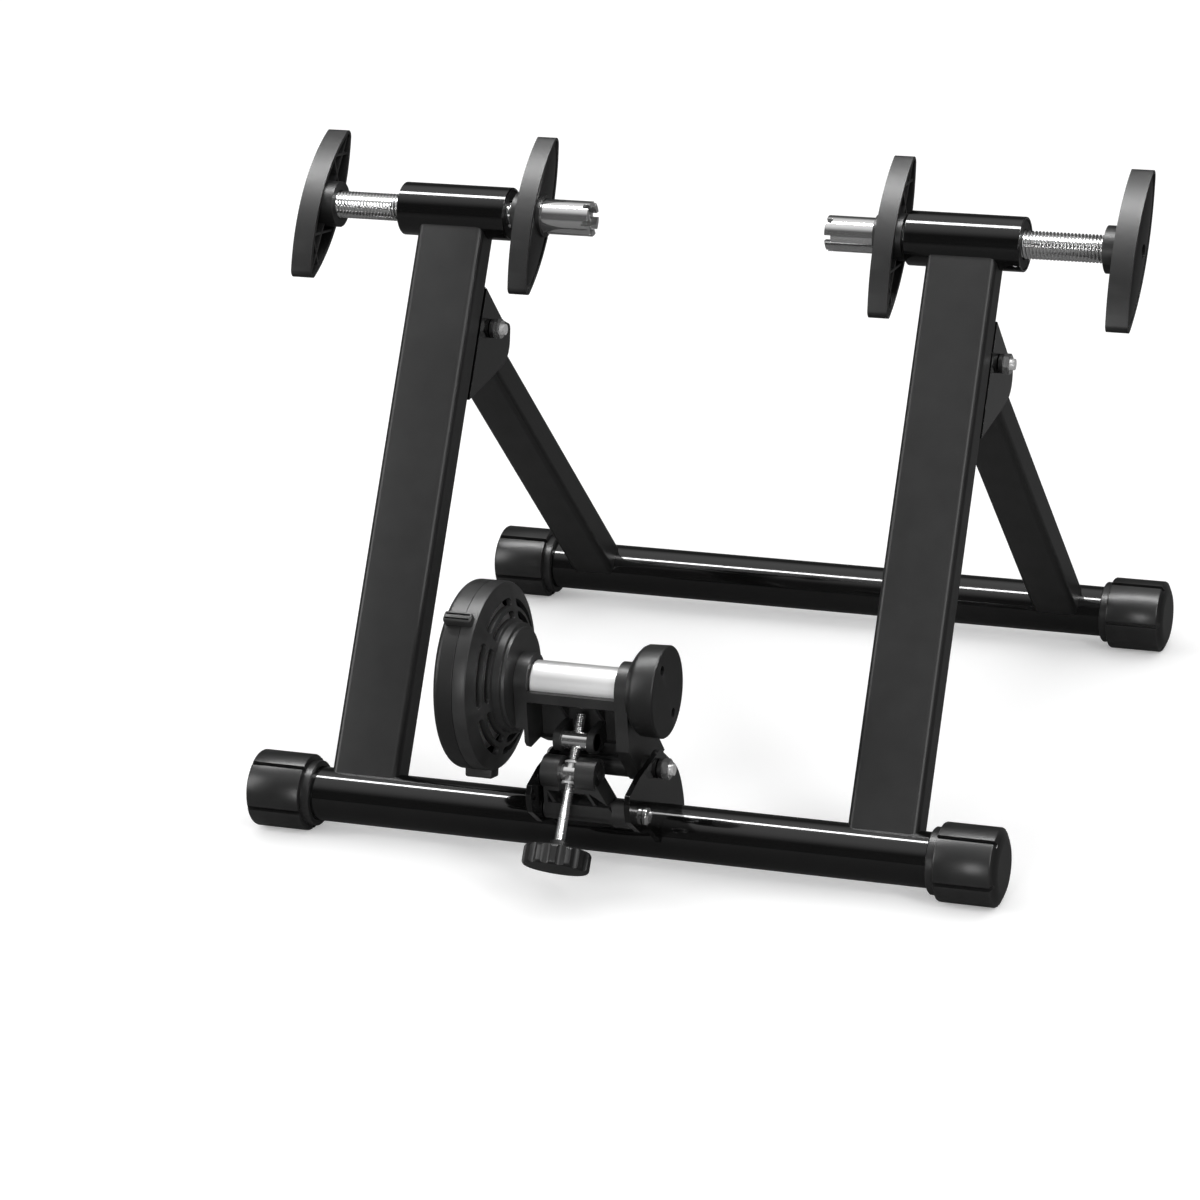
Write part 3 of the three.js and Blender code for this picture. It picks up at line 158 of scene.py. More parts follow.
def buildFinish(name, look):
    material = bpy.data.materials.new(name)
    material.use_nodes = True
    tree = material.node_tree
    shader = tree.nodes["Principled BSDF"]
    # painted sheen: the edge mask lightens the edges of the black finishes, and it also marks scuffs
    edgeScuffSheenNode = addNode(tree, "ShaderNodeGroup", node_tree=edgeScuffSheen)
    edgeScuffSheenNode.inputs["Colour"].default_value = (look["colour"],) * 3 + (1,)
    edgeScuffSheenNode.inputs["Scuff and Sheen Colour"].default_value = (look["scuffSheenColour"],) * 3 + (1,)
    edgeScuffSheenNode.inputs["Amount"].default_value = look["edgeScuffSheen"]
    mottled = addNode(tree, "ShaderNodeGroup", node_tree=grain)
    levels = {"Mottle": "mottle", "Roughness": "rough", "Variation": "vary", "Fine Scale": "fine"}
    for level, key in levels.items():
        mottled.inputs[level].default_value = look[key]
    tree.links.new(edgeScuffSheenNode.outputs["Colour"], mottled.inputs["Colour"])
    bump = addNode(tree, "ShaderNodeBump",
                   {"Strength": 1, "Distance": look["depth"], "Height": mottled.outputs["Height"]})
    tree.links.new(mottled.outputs["Colour"], shader.inputs["Base Color"])
    tree.links.new(mottled.outputs["Roughness"], shader.inputs["Roughness"])
    tree.links.new(bump.outputs["Normal"], shader.inputs["Normal"])
    shader.inputs["Metallic"].default_value = look.get("metal", 0)
    shader.inputs["Specular IOR Level"].default_value = look.get("spec", 0.5)
    shader.inputs["Coat Weight"].default_value = look.get("coat", 0)
    shader.inputs["Coat Roughness"].default_value = 0.05
    return material


# The roller is turned on a lathe, so its streaks run round it and change only along X.
def buildRollerSteel():
    look = dict(colour=0.9, rough=0.3, mottle=0.06, vary=0.1, fine=900, depth=0.000006,
                metal=0.6, edgeScuffSheen=0.2, scuffSheenColour=0.95)
    material = buildFinish("turnedSteel", look)
    tree = material.node_tree
    place = addNode(tree, "ShaderNodeTexCoord").outputs["Object"]
    along = addNode(tree, "ShaderNodeMapping", {"Vector": place, "Scale": (1, 0.02, 0.02)})
    streaks = addNode(tree, "ShaderNodeTexNoise",
                      {"Vector": along.outputs["Vector"], "Scale": 2400, "Detail": 3})
    bump = next(node for node in tree.nodes if node.bl_idname == "ShaderNodeBump")
    tree.links.new(streaks.outputs["Fac"], bump.inputs["Height"])
    return material


materials = {name: buildFinish(name, look) for name, look in finishes.items()}
materials["turnedSteel"] = buildRollerSteel()
print("materials built")


# shaping

def circlePoints(centre, radius, fromDegrees, toDegrees, steps):
    turn = (toDegrees - fromDegrees) / steps
    return [(centre[0] + radius * math.cos(rad(fromDegrees + i * turn)),
             centre[1] + radius * math.sin(rad(fromDegrees + i * turn))) for i in range(steps + 1)]


def closeMesh(bm, name):
    bmesh.ops.remove_doubles(bm, verts=bm.verts, dist=0.0005)
    rims = [edge for edge in bm.edges if edge.is_boundary]
    if rims:
        bmesh.ops.holes_fill(bm, edges=rims, sides=0)
    bmesh.ops.recalc_face_normals(bm, faces=bm.faces)
    mesh = bpy.data.meshes.new(name)
    bm.to_mesh(mesh)
    bm.free()
    piece = bpy.data.objects.new(name, mesh)
    bpy.context.scene.collection.objects.link(piece)
    return piece


# A body turned about a line along X: the profile lists (x, radius).
def turned(name, profile, centre=(0, 0), steps=96):
    bm = bmesh.new()
    y, z = centre
    points = [bm.verts.new((x, y, z + radius)) for x, radius in profile]
    edges = [bm.edges.new(pair) for pair in zip(points, points[1:])]
    if profile[0][1] > 0:
        edges.append(bm.edges.new((points[-1], points[0])))
    bmesh.ops.spin(bm, geom=points + edges, cent=(0, y, z), axis=(1, 0, 0), angle=fullTurn,
                   steps=steps, use_merge=True)
    return closeMesh(bm, name)


def bar(name, radius, fromX, toX, centre=(0, 0), steps=64):
    return turned(name, [(fromX, 0), (fromX, radius), (toX, radius), (toX, 0)], centre, steps)


# A flat ring of points pushed along a line.
def pushed(name, points, way):
    bm = bmesh.new()
    face = bm.faces.new([bm.verts.new(point) for point in points])
    grown = bmesh.ops.extrude_face_region(bm, geom=[face])
    far = [part for part in grown["geom"] if isinstance(part, bmesh.types.BMVert)]
    bmesh.ops.translate(bm, verts=far, vec=way)
    return closeMesh(bm, name)


# An outline in Y and Z pushed from one X to another.
def prism(name, outline, fromX, toX):
    return pushed(name, [(fromX, y, z) for y, z in outline], (toX - fromX, 0, 0))


# An outline in X and Z pushed from one Y to another.
def frontPrism(name, outline, fromY, toY):
    return pushed(name, [(x, fromY, z) for x, z in outline], (0, toY - fromY, 0))


def box(name, size, centre, turn=0, axis="X", soften=0, about=None):
    bm = bmesh.new()
    bmesh.ops.create_cube(bm, size=1)
    bmesh.ops.scale(bm, vec=size, verts=bm.verts)
    if soften:
        bmesh.ops.bevel(bm, geom=bm.edges[:], offset=soften, offset_type="OFFSET", segments=3, profile=0.5,
                        affect="EDGES", material=-1)
    bmesh.ops.translate(bm, verts=bm.verts, vec=centre)
    if turn:
        bmesh.ops.rotate(bm, verts=bm.verts, cent=about or centre, matrix=Matrix.Rotation(rad(turn), 3, axis))
    return closeMesh(bm, name)


# A hexagonal prism along X with its corners turned down at both ends.
def hexagon(name, across, fromX, toX, centre, chamfer=0.9, startChamfer=None):
    corner = across / 2 / math.cos(math.pi / 6)
    bm = bmesh.new()
    bmesh.ops.create_cone(bm, cap_ends=True, segments=6, radius1=corner, radius2=corner, depth=toX - fromX)
    bmesh.ops.rotate(bm, verts=bm.verts, matrix=Matrix.Rotation(math.pi / 2, 3, "Y"))
    bmesh.ops.translate(bm, verts=bm.verts, vec=((fromX + toX) / 2, centre[0], centre[1]))
    nut = closeMesh(bm, name)
    start = chamfer if startChamfer is None else startChamfer
    flat = across / 2 - 0.2
    limit = turned("limit", [(fromX - 1, 0), (fromX, flat if start else corner + 1),
                             (fromX + start, corner + 0.1), (toX - chamfer, corner + 0.1), (toX, flat),
                             (toX + 1, 0)], centre, 48)
    return combine(nut, [limit], "INTERSECT")


# A helical thread along X: one tooth is spun and moved on by its pitch.
def thread(name, crest, root, pitch, fromX, toX, centre, steps=28):
    bm = bmesh.new()
    turns = max(1, round((toX - fromX) / pitch) - 1)
    y, z = centre
    tooth = [(0, root), (0.16, root), (0.42, crest), (0.6, crest), (0.86, root), (1, root)]
    points = [bm.verts.new((fromX + share * pitch, y, z + radius)) for share, radius in tooth]
    edges = [bm.edges.new(pair) for pair in zip(points, points[1:])]
    bmesh.ops.spin(bm, geom=points + edges, cent=(0, y, z), axis=(1, 0, 0), dvec=(pitch / steps, 0, 0),
                   angle=fullTurn * turns, steps=steps * turns, use_merge=False)
    return closeMesh(bm, name)


def settle(piece, tools=()):
    graph = bpy.context.evaluated_depsgraph_get()
    mesh = bpy.data.meshes.new_from_object(piece.evaluated_get(graph))
    piece.modifiers.clear()
    old = piece.data
    piece.data = mesh
    bpy.data.meshes.remove(old)
    for tool in tools:
        bpy.data.objects.remove(tool)
    return piece


def combine(piece, tools, how="DIFFERENCE"):
    for tool in tools:
        step = piece.modifiers.new(how.lower(), "BOOLEAN")
        step.operation = how
        step.solver = "EXACT"
        step.object = tool
    return settle(piece, tools)


def cut(piece, *tools):
    return combine(piece, tools, "DIFFERENCE")


def join(piece, *others):
    return combine(piece, others, "UNION")


# Puts a piece in the frame, rounds its edges, gives it its finish and body, and hides the nodes it replaces.
def finish(piece, body, nodes, look, edge=0.5, segments=3, limit=30, aim=None):
    mesh = piece.data
    if aim is not None:
        mesh.transform(aim)
        if aim.determinant() < 0:
            mesh.flip_normals()
    mesh.transform(toFrame)
    mesh.shade_smooth()
    mesh.set_sharp_from_angle(angle=rad(limit))
    if edge:
        soft = piece.modifiers.new("edges", "BEVEL")
        soft.width = edge * unit
        soft.segments = segments
        soft.limit_method = "ANGLE"
        soft.angle_limit = rad(limit)
        soft.profile = 0.5
        soft.use_clamp_overlap = True
        soft.harden_normals = True
    mesh.materials.clear()
    mesh.materials.append(materials[look])
    for face in mesh.polygons:
        face.material_index = 0
    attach(piece, body)
    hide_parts(*nodes)
    return piece


# camera, floor and light

camera = {"place": (959.8, -2453.1, 1205.7), "target": (26.29, 0, 189.78), "roll": -2.60,
          "lens": 126.0, "shiftX": -0.0379, "shiftY": 0.0063}


def placeCamera():
    data = bpy.data.cameras.new("view")
    data.lens = camera["lens"]
    data.sensor_width = 36
    data.shift_x = camera["shiftX"]
    data.shift_y = camera["shiftY"]
    data.clip_end = 50
    place = toFrame @ Vector(camera["place"])
    forward = (toFrame @ Vector(camera["target"]) - place).normalized()
    level = forward.cross(Vector((0, 0, 1))).normalized()
    up = level.cross(forward)
    roll = rad(camera["roll"])
    right = level * math.cos(roll) + up * math.sin(roll)
    above = up * math.cos(roll) - level * math.sin(roll)
    turn = Matrix((right, above, -forward)).transposed()
    viewer = bpy.data.objects.new("view", data)
    viewer.matrix_world = Matrix.Translation(place) @ turn.to_4x4()
    bpy.context.scene.collection.objects.link(viewer)
    bpy.context.scene.camera = viewer


# Levels: "sky" lights the stand, "low" and "high" are the dim surround and the bright ceiling that
# shine in gloss and metal, "paper" is the floor's own white and "paperGloss" what gloss shows of it.
studio = {"floor": 12.0, "sky": 0.85, "low": 0.06, "high": 0.8, "lowEdge": 0.5, "highEdge": 0.92,
          "paper": 0.93, "paperGloss": 0.13, "lift": 0.22}
lamps = {
    "overhead": dict(power=36, width=2.6, depth=0.14, place=(0, 0, 1.2), target=(0, 0, 0), onlyGloss=True),
    "left": dict(power=22, width=0.8, depth=1.4, place=(-2.3, -1.4, 1.1), target=(0, 0, 0.2)),
    "right": dict(power=20, width=0.3, depth=1.6, place=(2.0, -1.7, 1.5), target=(0, 0, 0.2)),
    "front": dict(power=18, width=0.4, depth=1.0, place=(0.1, -2.9, 0.75), target=(0, 0, 0.2)),
}


# Picks one of two values by the kind of ray: gloss and glass take the second.
def pickByGloss(tree, path, plain, glossy):
    either = compute(tree, "MAXIMUM", path.outputs["Is Glossy Ray"], path.outputs["Is Transmission Ray"])
    return addNode(tree, "ShaderNodeMix", {0: either, 2: plain, 3: glossy}).outputs[0]


# The world: white to the camera, a dim surround under a bright ceiling to gloss, an even sky as light.
def buildWorld():
    world = bpy.data.worlds.new("studio")
    bpy.context.scene.world = world
    world.use_nodes = True
    tree = world.node_tree
    sky = tree.nodes["Background"]
    sky.inputs["Color"].default_value = (1, 1, 1, 1)
    direction = addNode(tree, "ShaderNodeTexCoord").outputs["Generated"]
    height = addNode(tree, "ShaderNodeSeparateXYZ", {0: direction})
    ceiling = addNode(tree, "ShaderNodeMapRange", {
        "Value": height.outputs["Z"], "From Min": studio["lowEdge"], "From Max": studio["highEdge"],
        "To Min": studio["low"], "To Max": studio["high"]}, interpolation_type="SMOOTHSTEP")
    path = addNode(tree, "ShaderNodeLightPath")
    light = pickByGloss(tree, path, studio["sky"], ceiling.outputs[0])
    direct = addNode(tree, "ShaderNodeMix", {0: path.outputs["Is Camera Ray"], 2: light, 3: 1})
    tree.links.new(direct.outputs[0], sky.inputs["Strength"])


def buildFloor():
    bm = bmesh.new()
    bmesh.ops.create_grid(bm, x_segments=1, y_segments=1, size=studio["floor"])
    floor = closeMesh(bm, "floor")
    floor.location.z = -0.0004
    material = bpy.data.materials.new("paper")
    material.use_nodes = True
    tree = material.node_tree
    shader = tree.nodes["Principled BSDF"]
    shader.inputs["Roughness"].default_value = 0.9
    shader.inputs["Specular IOR Level"].default_value = 0.1
    path = addNode(tree, "ShaderNodeLightPath")
    tree.links.new(pickByGloss(tree, path, studio["paper"], studio["paperGloss"]),
                   shader.inputs["Base Color"])
    lift = compute(tree, "MULTIPLY", path.outputs["Is Camera Ray"], studio["lift"])
    shader.inputs["Emission Color"].default_value = (1, 1, 1, 1)
    tree.links.new(lift, shader.inputs["Emission Strength"])
    floor.data.materials.append(material)


def buildStudio():
    buildWorld()
    buildFloor()
    for name, lamp in lamps.items():
        data = bpy.data.lights.new(name, "AREA")
        data.shape = "RECTANGLE"
        data.size = lamp["width"]
        data.size_y = lamp["depth"]
        data.energy = lamp["power"]
        light = bpy.data.objects.new(name, data)
        light.location = lamp["place"]
        aim = Vector(lamp["target"]) - light.location
        light.rotation_euler = aim.to_track_quat("-Z", "Y").to_euler()
        light.visible_camera = False
        light.visible_diffuse = not lamp.get("onlyGloss", False)
        bpy.context.scene.collection.objects.link(light)
    bpy.context.scene.view_settings.view_transform = "Standard"


placeCamera()
buildStudio()
print("camera and studio placed")


# welded frame

frameSize = {"tube": 19, "tubeWall": 1.8, "tubeHalf": 270, "axisHeight": 26.5, "spacing": 470,
             "uprightX": 189, "uprightWidth": 50, "uprightDepth": 25, "corner": 5,
             "barrelY": 227, "barrelZ": 389, "barrelHalf": 41, "insertRecess": 2.5, "insertBore": 10.3,
             "bushFlange": 2}
frontAxis = (0, frameSize["axisHeight"])
rearAxis = (frameSize["spacing"], frameSize["axisHeight"])
barrelAxis = (frameSize["barrelY"], frameSize["barrelZ"])


def buildBaseTube(name, axis, body, node):
    half = frameSize["tubeHalf"]
    tube = bar(name, frameSize["tube"], -half, half, axis, 144)
    finish(tube, body, [node], "glossEnamel", edge=0)


# A rounded rectangular tube from one axis to another, in the plane of constant X.
def rectangularTube(name, width, depth, x, start, end, corner):
    along = Vector((end[0] - start[0], end[1] - start[1]))
    bm = bmesh.new()
    bmesh.ops.create_cube(bm, size=1)
    bmesh.ops.scale(bm, vec=(width, depth, along.length), verts=bm.verts)
    long = [edge for edge in bm.edges if abs(edge.verts[0].co.z - edge.verts[1].co.z) > 1]
    bmesh.ops.bevel(bm, geom=long, offset=corner, offset_type="OFFSET", segments=8, profile=0.5,
                    affect="EDGES", material=-1)
    bmesh.ops.translate(bm, verts=bm.verts, vec=(0, 0, along.length / 2))
    bmesh.ops.rotate(bm, verts=bm.verts, matrix=Matrix.Rotation(-math.atan2(along.x, along.y), 3, "X"))
    bmesh.ops.translate(bm, verts=bm.verts, vec=(x, start[0], start[1]))
    return closeMesh(bm, name)


def buildUpright(side, x):
    post = rectangularTube(f"upright{side}", frameSize["uprightWidth"], frameSize["uprightDepth"], x,
                           frontAxis, barrelAxis, frameSize["corner"])
    reach = frameSize["uprightWidth"]
    saddle = frameSize["tube"] - 0.2
    cut(post, bar("saddle", saddle, x - reach, x + reach, frontAxis, 144),
        bar("saddle", saddle, x - reach, x + reach, barrelAxis, 144))
    finish(post, "root", [f"upright_{side.lower()}"], "satinPowder", edge=0, limit=50)


def buildBarrel(side, x):
    half = frameSize["barrelHalf"]
    outer, inner = frameSize["tube"], frameSize["tube"] - frameSize["tubeWall"]
    sleeve = turned(f"barrel{side}", [(x - half, inner), (x - half, outer), (x + half, outer),
                                      (x + half, inner)], barrelAxis, 144)
    finish(sleeve, "root", [f"clamp_barrel_{side.lower()}"], "glossEnamel", edge=0.5)
    reach = half - frameSize["insertRecess"]
    bore, rim = frameSize["insertBore"], inner - fit
    insert = turned(f"insert{side}", [(x - reach, bore + 1.2), (x - reach, rim), (x + reach, rim),
                                      (x + reach, bore + 1.2), (x + reach - 1.2, bore),
                                      (x - reach + 1.2, bore)], barrelAxis, 96)
    finish(insert, "root", [f"barrel_insert_{side.lower()}"], "brightZinc", edge=0.3)
    for sign, end in ((-1, "Inner"), (1, "Outer")):
        near, far = x + sign * (reach + 0.05), x + sign * (reach + frameSize["bushFlange"])
        flange = turned(f"bush{side}{end}", [(near, bore + 0.15), (near, rim), (far, rim),
                                             (far, bore + 0.15)], barrelAxis, 96)
        finish(flange, "root", [], "blackNylon", edge=0.4)


buildBaseTube("frontTube", frontAxis, "root", "front_base_tube")
buildBaseTube("rearTube", rearAxis, "rear_frame", "rear_base_tube")
for side, x in (("Left", -frameSize["uprightX"]), ("Right", frameSize["uprightX"])):
    buildUpright(side, x)
    buildBarrel(side, x)
print("frame tubes built")


# end caps, which are the feet

capSize = {"radius": 27, "end": 273, "dome": 3, "pad": 40, "collar": 23, "collarLength": 6, "bore": 19.3,
           "grooves": 5, "grooveWidth": 3.2, "grooveDepth": 4, "grooveAngle": 62, "footCut": 0.5, "turn": 14}


def buildCap(name, axis, mirrored, turn, body, node):
    size = capSize
    padEnd = size["end"] - size["dome"]
    padStart = padEnd - size["pad"]
    back = padStart - size["collarLength"]
    outer, rim, edge = size["radius"], size["collar"], size["dome"] / 2
    shell = turned(name, [(back, size["bore"]), (back, rim - 0.8), (back + 0.8, rim), (padStart, rim),
                          (padStart, outer - edge), (padStart + 0.5, outer - 0.5), (padStart + edge, outer),
                          (padEnd - edge, outer), (padEnd - 0.5, outer - 0.5), (padEnd, outer - edge),
                          (size["end"] - edge, rim - edge + 1), (size["end"] - 0.5, rim - size["dome"]),
                          (size["end"], rim - 2 * size["dome"]), (size["end"], rim - 2 * size["dome"] - 0.6),
                          (size["end"], 0), (padEnd, 0), (padEnd, size["bore"]), (back, size["bore"])],
                   (0, 0), 120)
    tools = []
    for i in range(size["grooves"]):
        depth = size["grooveDepth"] + over
        groove = box("groove", (size["pad"] + 2 * over, depth, size["grooveWidth"]),
                     ((padStart + padEnd) / 2, -(outer + (over - size["grooveDepth"]) / 2), 0),
                     -(size["grooveAngle"] + turn + i * 360 / size["grooves"]), "X", about=(0, 0, 0))
        tools.append(groove)
    tools.append(box("ground", (700, 80, 40), (0, 0, -(outer - size["footCut"]) - 20)))
    cut(shell, *tools)
    aim = Matrix.Translation((0, axis[0], axis[1]))
    if mirrored:
        aim = aim @ Matrix.Scale(-1, 4, (1, 0, 0))
    finish(shell, body, [node], "capPlastic", edge=0.7, segments=4, aim=aim)


buildCap("frontCapLeft", frontAxis, True, 0, "root", "front_cap_left")
buildCap("frontCapRight", frontAxis, False, 0, "root", "front_cap_right")
buildCap("rearCapLeft", rearAxis, True, 0, "rear_frame", "rear_cap_left")
buildCap("rearCapRight", rearAxis, False, capSize["turn"], "rear_frame", "rear_cap_right")
print("caps built")


# folding hinges and struts

hingeSize = {"bolt": (214.724, 306.4), "plate": 3, "top": 338, "bottom": 268, "nose": 36, "boltRadius": 4,
             "nut": 13, "nutHeight": 8, "washer": 2.7, "head": 5.5, "stub": 3, "strutWidth": 35,
             "strutDepth": 25, "spacer": 11, "heel": (0.01, -0.97),
             "toe": ((0.58, -0.9), (0.84, -0.82), (0.92, -0.56)),
             "brow": ((0.97, -0.34), (1.01, -0.2), (0.85, -0.14)), "neck": (0.6, 0)}
uprightTurn = math.atan2(barrelAxis[0] - frontAxis[0], barrelAxis[1] - frontAxis[1])


def rearFace(z):
    return ((z - frontAxis[1]) * math.tan(uprightTurn)
            + frameSize["uprightDepth"] / 2 / math.cos(uprightTurn) + fit)


def bend(start, control, end, steps=10):
    a, b, c = Vector(start), Vector(control), Vector(end)
    return [tuple(a.lerp(b, i / steps).lerp(b.lerp(c, i / steps), i / steps)) for i in range(steps + 1)]


# A cheek runs back from the upright; its places are shares of its nose from the bolt.
def cheekOutline():
    size = hingeSize

    def fromBolt(share):
        return (size["bolt"][0] + share[0] * size["nose"], size["bolt"][1] + share[1] * size["nose"])

    outline = [(rearFace(size["top"]), size["top"]), (rearFace(size["bottom"]), size["bottom"]),
               fromBolt(size["heel"])]
    for corner in ("toe", "brow"):
        outline += bend(*[fromBolt(share) for share in size[corner]])
    return outline + [fromBolt(size["neck"])]


def buildHexBolt(name, fromX, toX, centre, body, node):
    size = hingeSize
    head = hexagon(name, size["nut"], fromX - size["head"] - fit, fromX - fit, centre)
    tip = toX + size["nutHeight"] + size["stub"]
    shank = bar("shank", size["boltRadius"] - 0.05, fromX - 1, tip, centre, 48)
    finish(join(head, shank), body, [node], "brightZinc", edge=0.25, segments=2)


# A black ring under the nut, a painted reflection that stands for the nut's dark mirror image in the glossy
# cheek, and a chromed nut with both its ends turned down.
def buildHexNut(name, x, centre, body, node):
    size = hingeSize
    start = x + fit + size["washer"]
    bore = size["boltRadius"] + 0.15
    rim = size["nut"] / 2 + 0.3
    washer = turned(f"{name}Washer", [(x + fit, bore), (x + fit, rim), (start - 0.05, rim),
                                      (start - 0.05, bore)], centre, 64)
    finish(washer, body, [], "blackNylon", edge=0.4)
    nut = hexagon(name, size["nut"], start, x + fit + size["nutHeight"], centre, 0.9)
    cut(nut, bar("bore", bore, x - over, x + size["nutHeight"] + over, centre, 48))
    finish(nut, body, [node], "brightChrome", edge=0.25, segments=2)


def buildHinge(side, x):
    size = hingeSize
    outer = frameSize["uprightWidth"] / 2
    inner = outer - size["plate"]
    cheek = prism(f"hingeBracket{side}", cheekOutline(), x - outer, x - inner)
    other = prism("cheek", cheekOutline(), x + inner, x + outer)
    top, bottom = size["top"], size["bottom"]
    back = [(rearFace(top), top), (rearFace(bottom), bottom),
            (rearFace(bottom) + size["plate"], bottom), (rearFace(top) + size["plate"], top)]
    join(cheek, other, prism("web", back, x - inner - 1, x + inner + 1))
    cut(cheek, bar("bore", size["boltRadius"] + 0.4, x - outer - over, x + outer + over, size["bolt"], 48))
    finish(cheek, "root", [f"hinge_bracket_{side.lower()}"], "glossEnamel", edge=0.8)
    low = side.lower()
    buildHexBolt(f"hingeBolt{side}", x - outer, x + outer, size["bolt"], "root", f"hinge_bolt_{low}")
    buildHexNut(f"hingeNut{side}", x + outer, size["bolt"], "root", f"hinge_nut_{low}")


def buildStrut(side, x):
    size = hingeSize
    width, depth = size["strutWidth"], size["strutDepth"]
    post = rectangularTube(f"strut{side}", width, depth, x, size["bolt"], rearAxis, frameSize["corner"])
    join(post, bar("ear", depth / 2 - 0.3, x - width / 2, x + width / 2, size["bolt"]))
    cut(post, bar("saddle", frameSize["tube"] - 0.2, x - width, x + width, rearAxis, 144),
        bar("bore", size["boltRadius"] + 0.5, x - width, x + width, size["bolt"], 48))
    finish(post, "rear_frame", [f"strut_{side.lower()}"], "satinPowder", edge=0, limit=50)
    for sign, letter in ((-1, "a"), (1, "b")):
        near = x + sign * (width / 2 + fit)
        far = x + sign * (frameSize["uprightWidth"] / 2 - size["plate"] - fit)
        ring = turned(f"spacer{side}{letter.upper()}",
                      [(near, size["boltRadius"] + 0.5), (near, size["spacer"]), (far, size["spacer"]),
                       (far, size["boltRadius"] + 0.5)], size["bolt"], 64)
        finish(ring, "rear_frame", [f"strut_spacer_{side.lower()}_{letter}"], "blackNylon", edge=0.4)


for side, x in (("Left", -frameSize["uprightX"]), ("Right", frameSize["uprightX"])):
    buildHinge(side, x)
    buildStrut(side, x)
print("hinges and struts built")


# wheel clamps

clampSize = {"rod": 9.8, "rodRoot": 8.1, "pitch": 2.5, "cup": 12.5, "cupBore": 8.5, "cupDepth": 16,
             "cupLength": 38, "notches": 6, "notchWidth": 4, "notchDepth": 4.5, "cupEdge": 1.2}
wingSize = {"length": 120, "width": 36, "thick": 15.5, "lockThick": 14, "tip": 5, "wall": 2.6, "skin": 4,
            "rib": 1.6, "hub": 16.5, "hubRise": 8, "lockRise": 4, "lip": 2.2, "lipDepth": 1.2,
            "socket": 5, "socketDepth": 5, "collar": 15, "collarRise": 3, "dome": 2.6,
            "ribShares": (-0.34, -0.2, 0.2, 0.34), "ribTurns": (55, -55, 55, -55)}


def lensOutline(offset):
    size = wingSize
    reach = size["length"] / 2 - size["tip"]
    rise = size["width"] / 2 - size["tip"]
    bow = (reach * reach + rise * rise) / (2 * rise)
    sweep = math.degrees(math.asin(reach / bow))
    tip = size["tip"] + offset
    points = circlePoints((0, rise - bow), bow + tip, 90 + sweep, 90 - sweep, 36)
    points += circlePoints((reach, 0), tip, 90 - sweep, sweep - 90, 14)[1:]
    points += circlePoints((0, bow - rise), bow + tip, sweep - 90, -sweep - 90, 36)[1:]
    points += circlePoints((-reach, 0), tip, -sweep - 90, sweep - 270, 14)[1:-1]
    return points


def buildWing(name, x, flip, lean, isLock, body, node):
    size = wingSize
    thick = size["lockThick"] if isLock else size["thick"]
    rise = size["lockRise"] if isLock else size["hubRise"]
    wing = prism(name, lensOutline(0), -thick, 0)
    cut(wing, prism("hollow", lensOutline(-size["wall"]), size["skin"] - thick, over),
        prism("recess", lensOutline(-size["lip"]), -thick - over, size["lipDepth"] - thick))
    bm = bmesh.new()
    bmesh.ops.create_uvsphere(bm, u_segments=64, v_segments=32, radius=1)
    bmesh.ops.scale(bm, verts=bm.verts, vec=(size["dome"], size["length"] / 2 - size["tip"] - size["lip"],
                                             size["width"] / 2 - 2 * size["lip"]))
    bmesh.ops.translate(bm, verts=bm.verts, vec=(size["lipDepth"] - thick, 0, 0))
    dome = closeMesh(bm, "dome")
    ribDepth = thick - size["skin"] + 1
    middle = -ribDepth / 2 - size["lipDepth"]
    ribs = box("rib", (ribDepth, size["length"], size["rib"]), (middle, 0, 0))
    across = (ribDepth, size["width"] * 2, size["rib"])
    others = [box("rib", across, (middle, share * size["length"], 0), turn)
              for share, turn in zip(size["ribShares"], size["ribTurns"])]
    join(ribs, *others)
    combine(ribs, [prism("inside", lensOutline(-size["wall"] / 2), -thick + 1.5, 0)], "INTERSECT")
    hub = bar("hub", size["hub"], size["skin"] / 2 - thick, rise, steps=96)
    join(wing, dome, ribs, hub)
    bore = frameSize["insertBore"]
    if isLock:
        brim = -thick - size["collarRise"]
        join(wing, bar("collar", size["collar"], brim, size["skin"] / 2 - thick, steps=96))
        cut(wing, bar("bore", bore, -thick - over, rise + over, steps=96),
            bar("cupSeat", clampSize["cup"] + fit, brim - over, -thick, steps=96))
    else:
        floor = size["socketDepth"] - thick
        cut(wing, bar("bore", bore, floor + size["lipDepth"], rise + over, steps=96),
            bar("socket", size["socket"], -thick - over, floor, steps=64))
    aim = (Matrix.Translation((x, *barrelAxis)) @ Matrix.Rotation(rad(90 - lean), 4, "X")
           @ Matrix.Scale(flip, 4, (1, 0, 0)))
    finish(wing, body, [node], "mouldedNylon", edge=0.7, segments=3, limit=28, aim=aim)


def buildCup(name, baseX, sign, body, node):
    size = clampSize
    tip = size["cupLength"]
    floor = tip - size["cupDepth"]
    cup = turned(name, [(0, size["rod"] + 0.5), (0, size["cup"]), (tip, size["cup"]), (tip, size["cupBore"]),
                        (floor, size["cupBore"]), (floor - 1, size["cupBore"] - 1.5), (floor - 1, 0),
                        (floor - 3, 0), (floor - 3, size["rod"] + 0.5), (0, size["rod"] + 0.5)], (0, 0), 120)
    tools = []
    for i in range(size["notches"]):
        depth = size["notchDepth"]
        tools.append(box("notch", (depth + over, 2 * size["cup"], size["notchWidth"]),
                         (tip + (over - depth) / 2, size["cup"], 0), i * 360 / size["notches"], "X",
                         about=(0, 0, 0)))
    cut(cup, *tools)
    aim = Matrix.Translation((baseX, *barrelAxis)) @ Matrix.Scale(sign, 4, (1, 0, 0))
    finish(cup, body, [node], "brightChrome", edge=0.5, aim=aim)


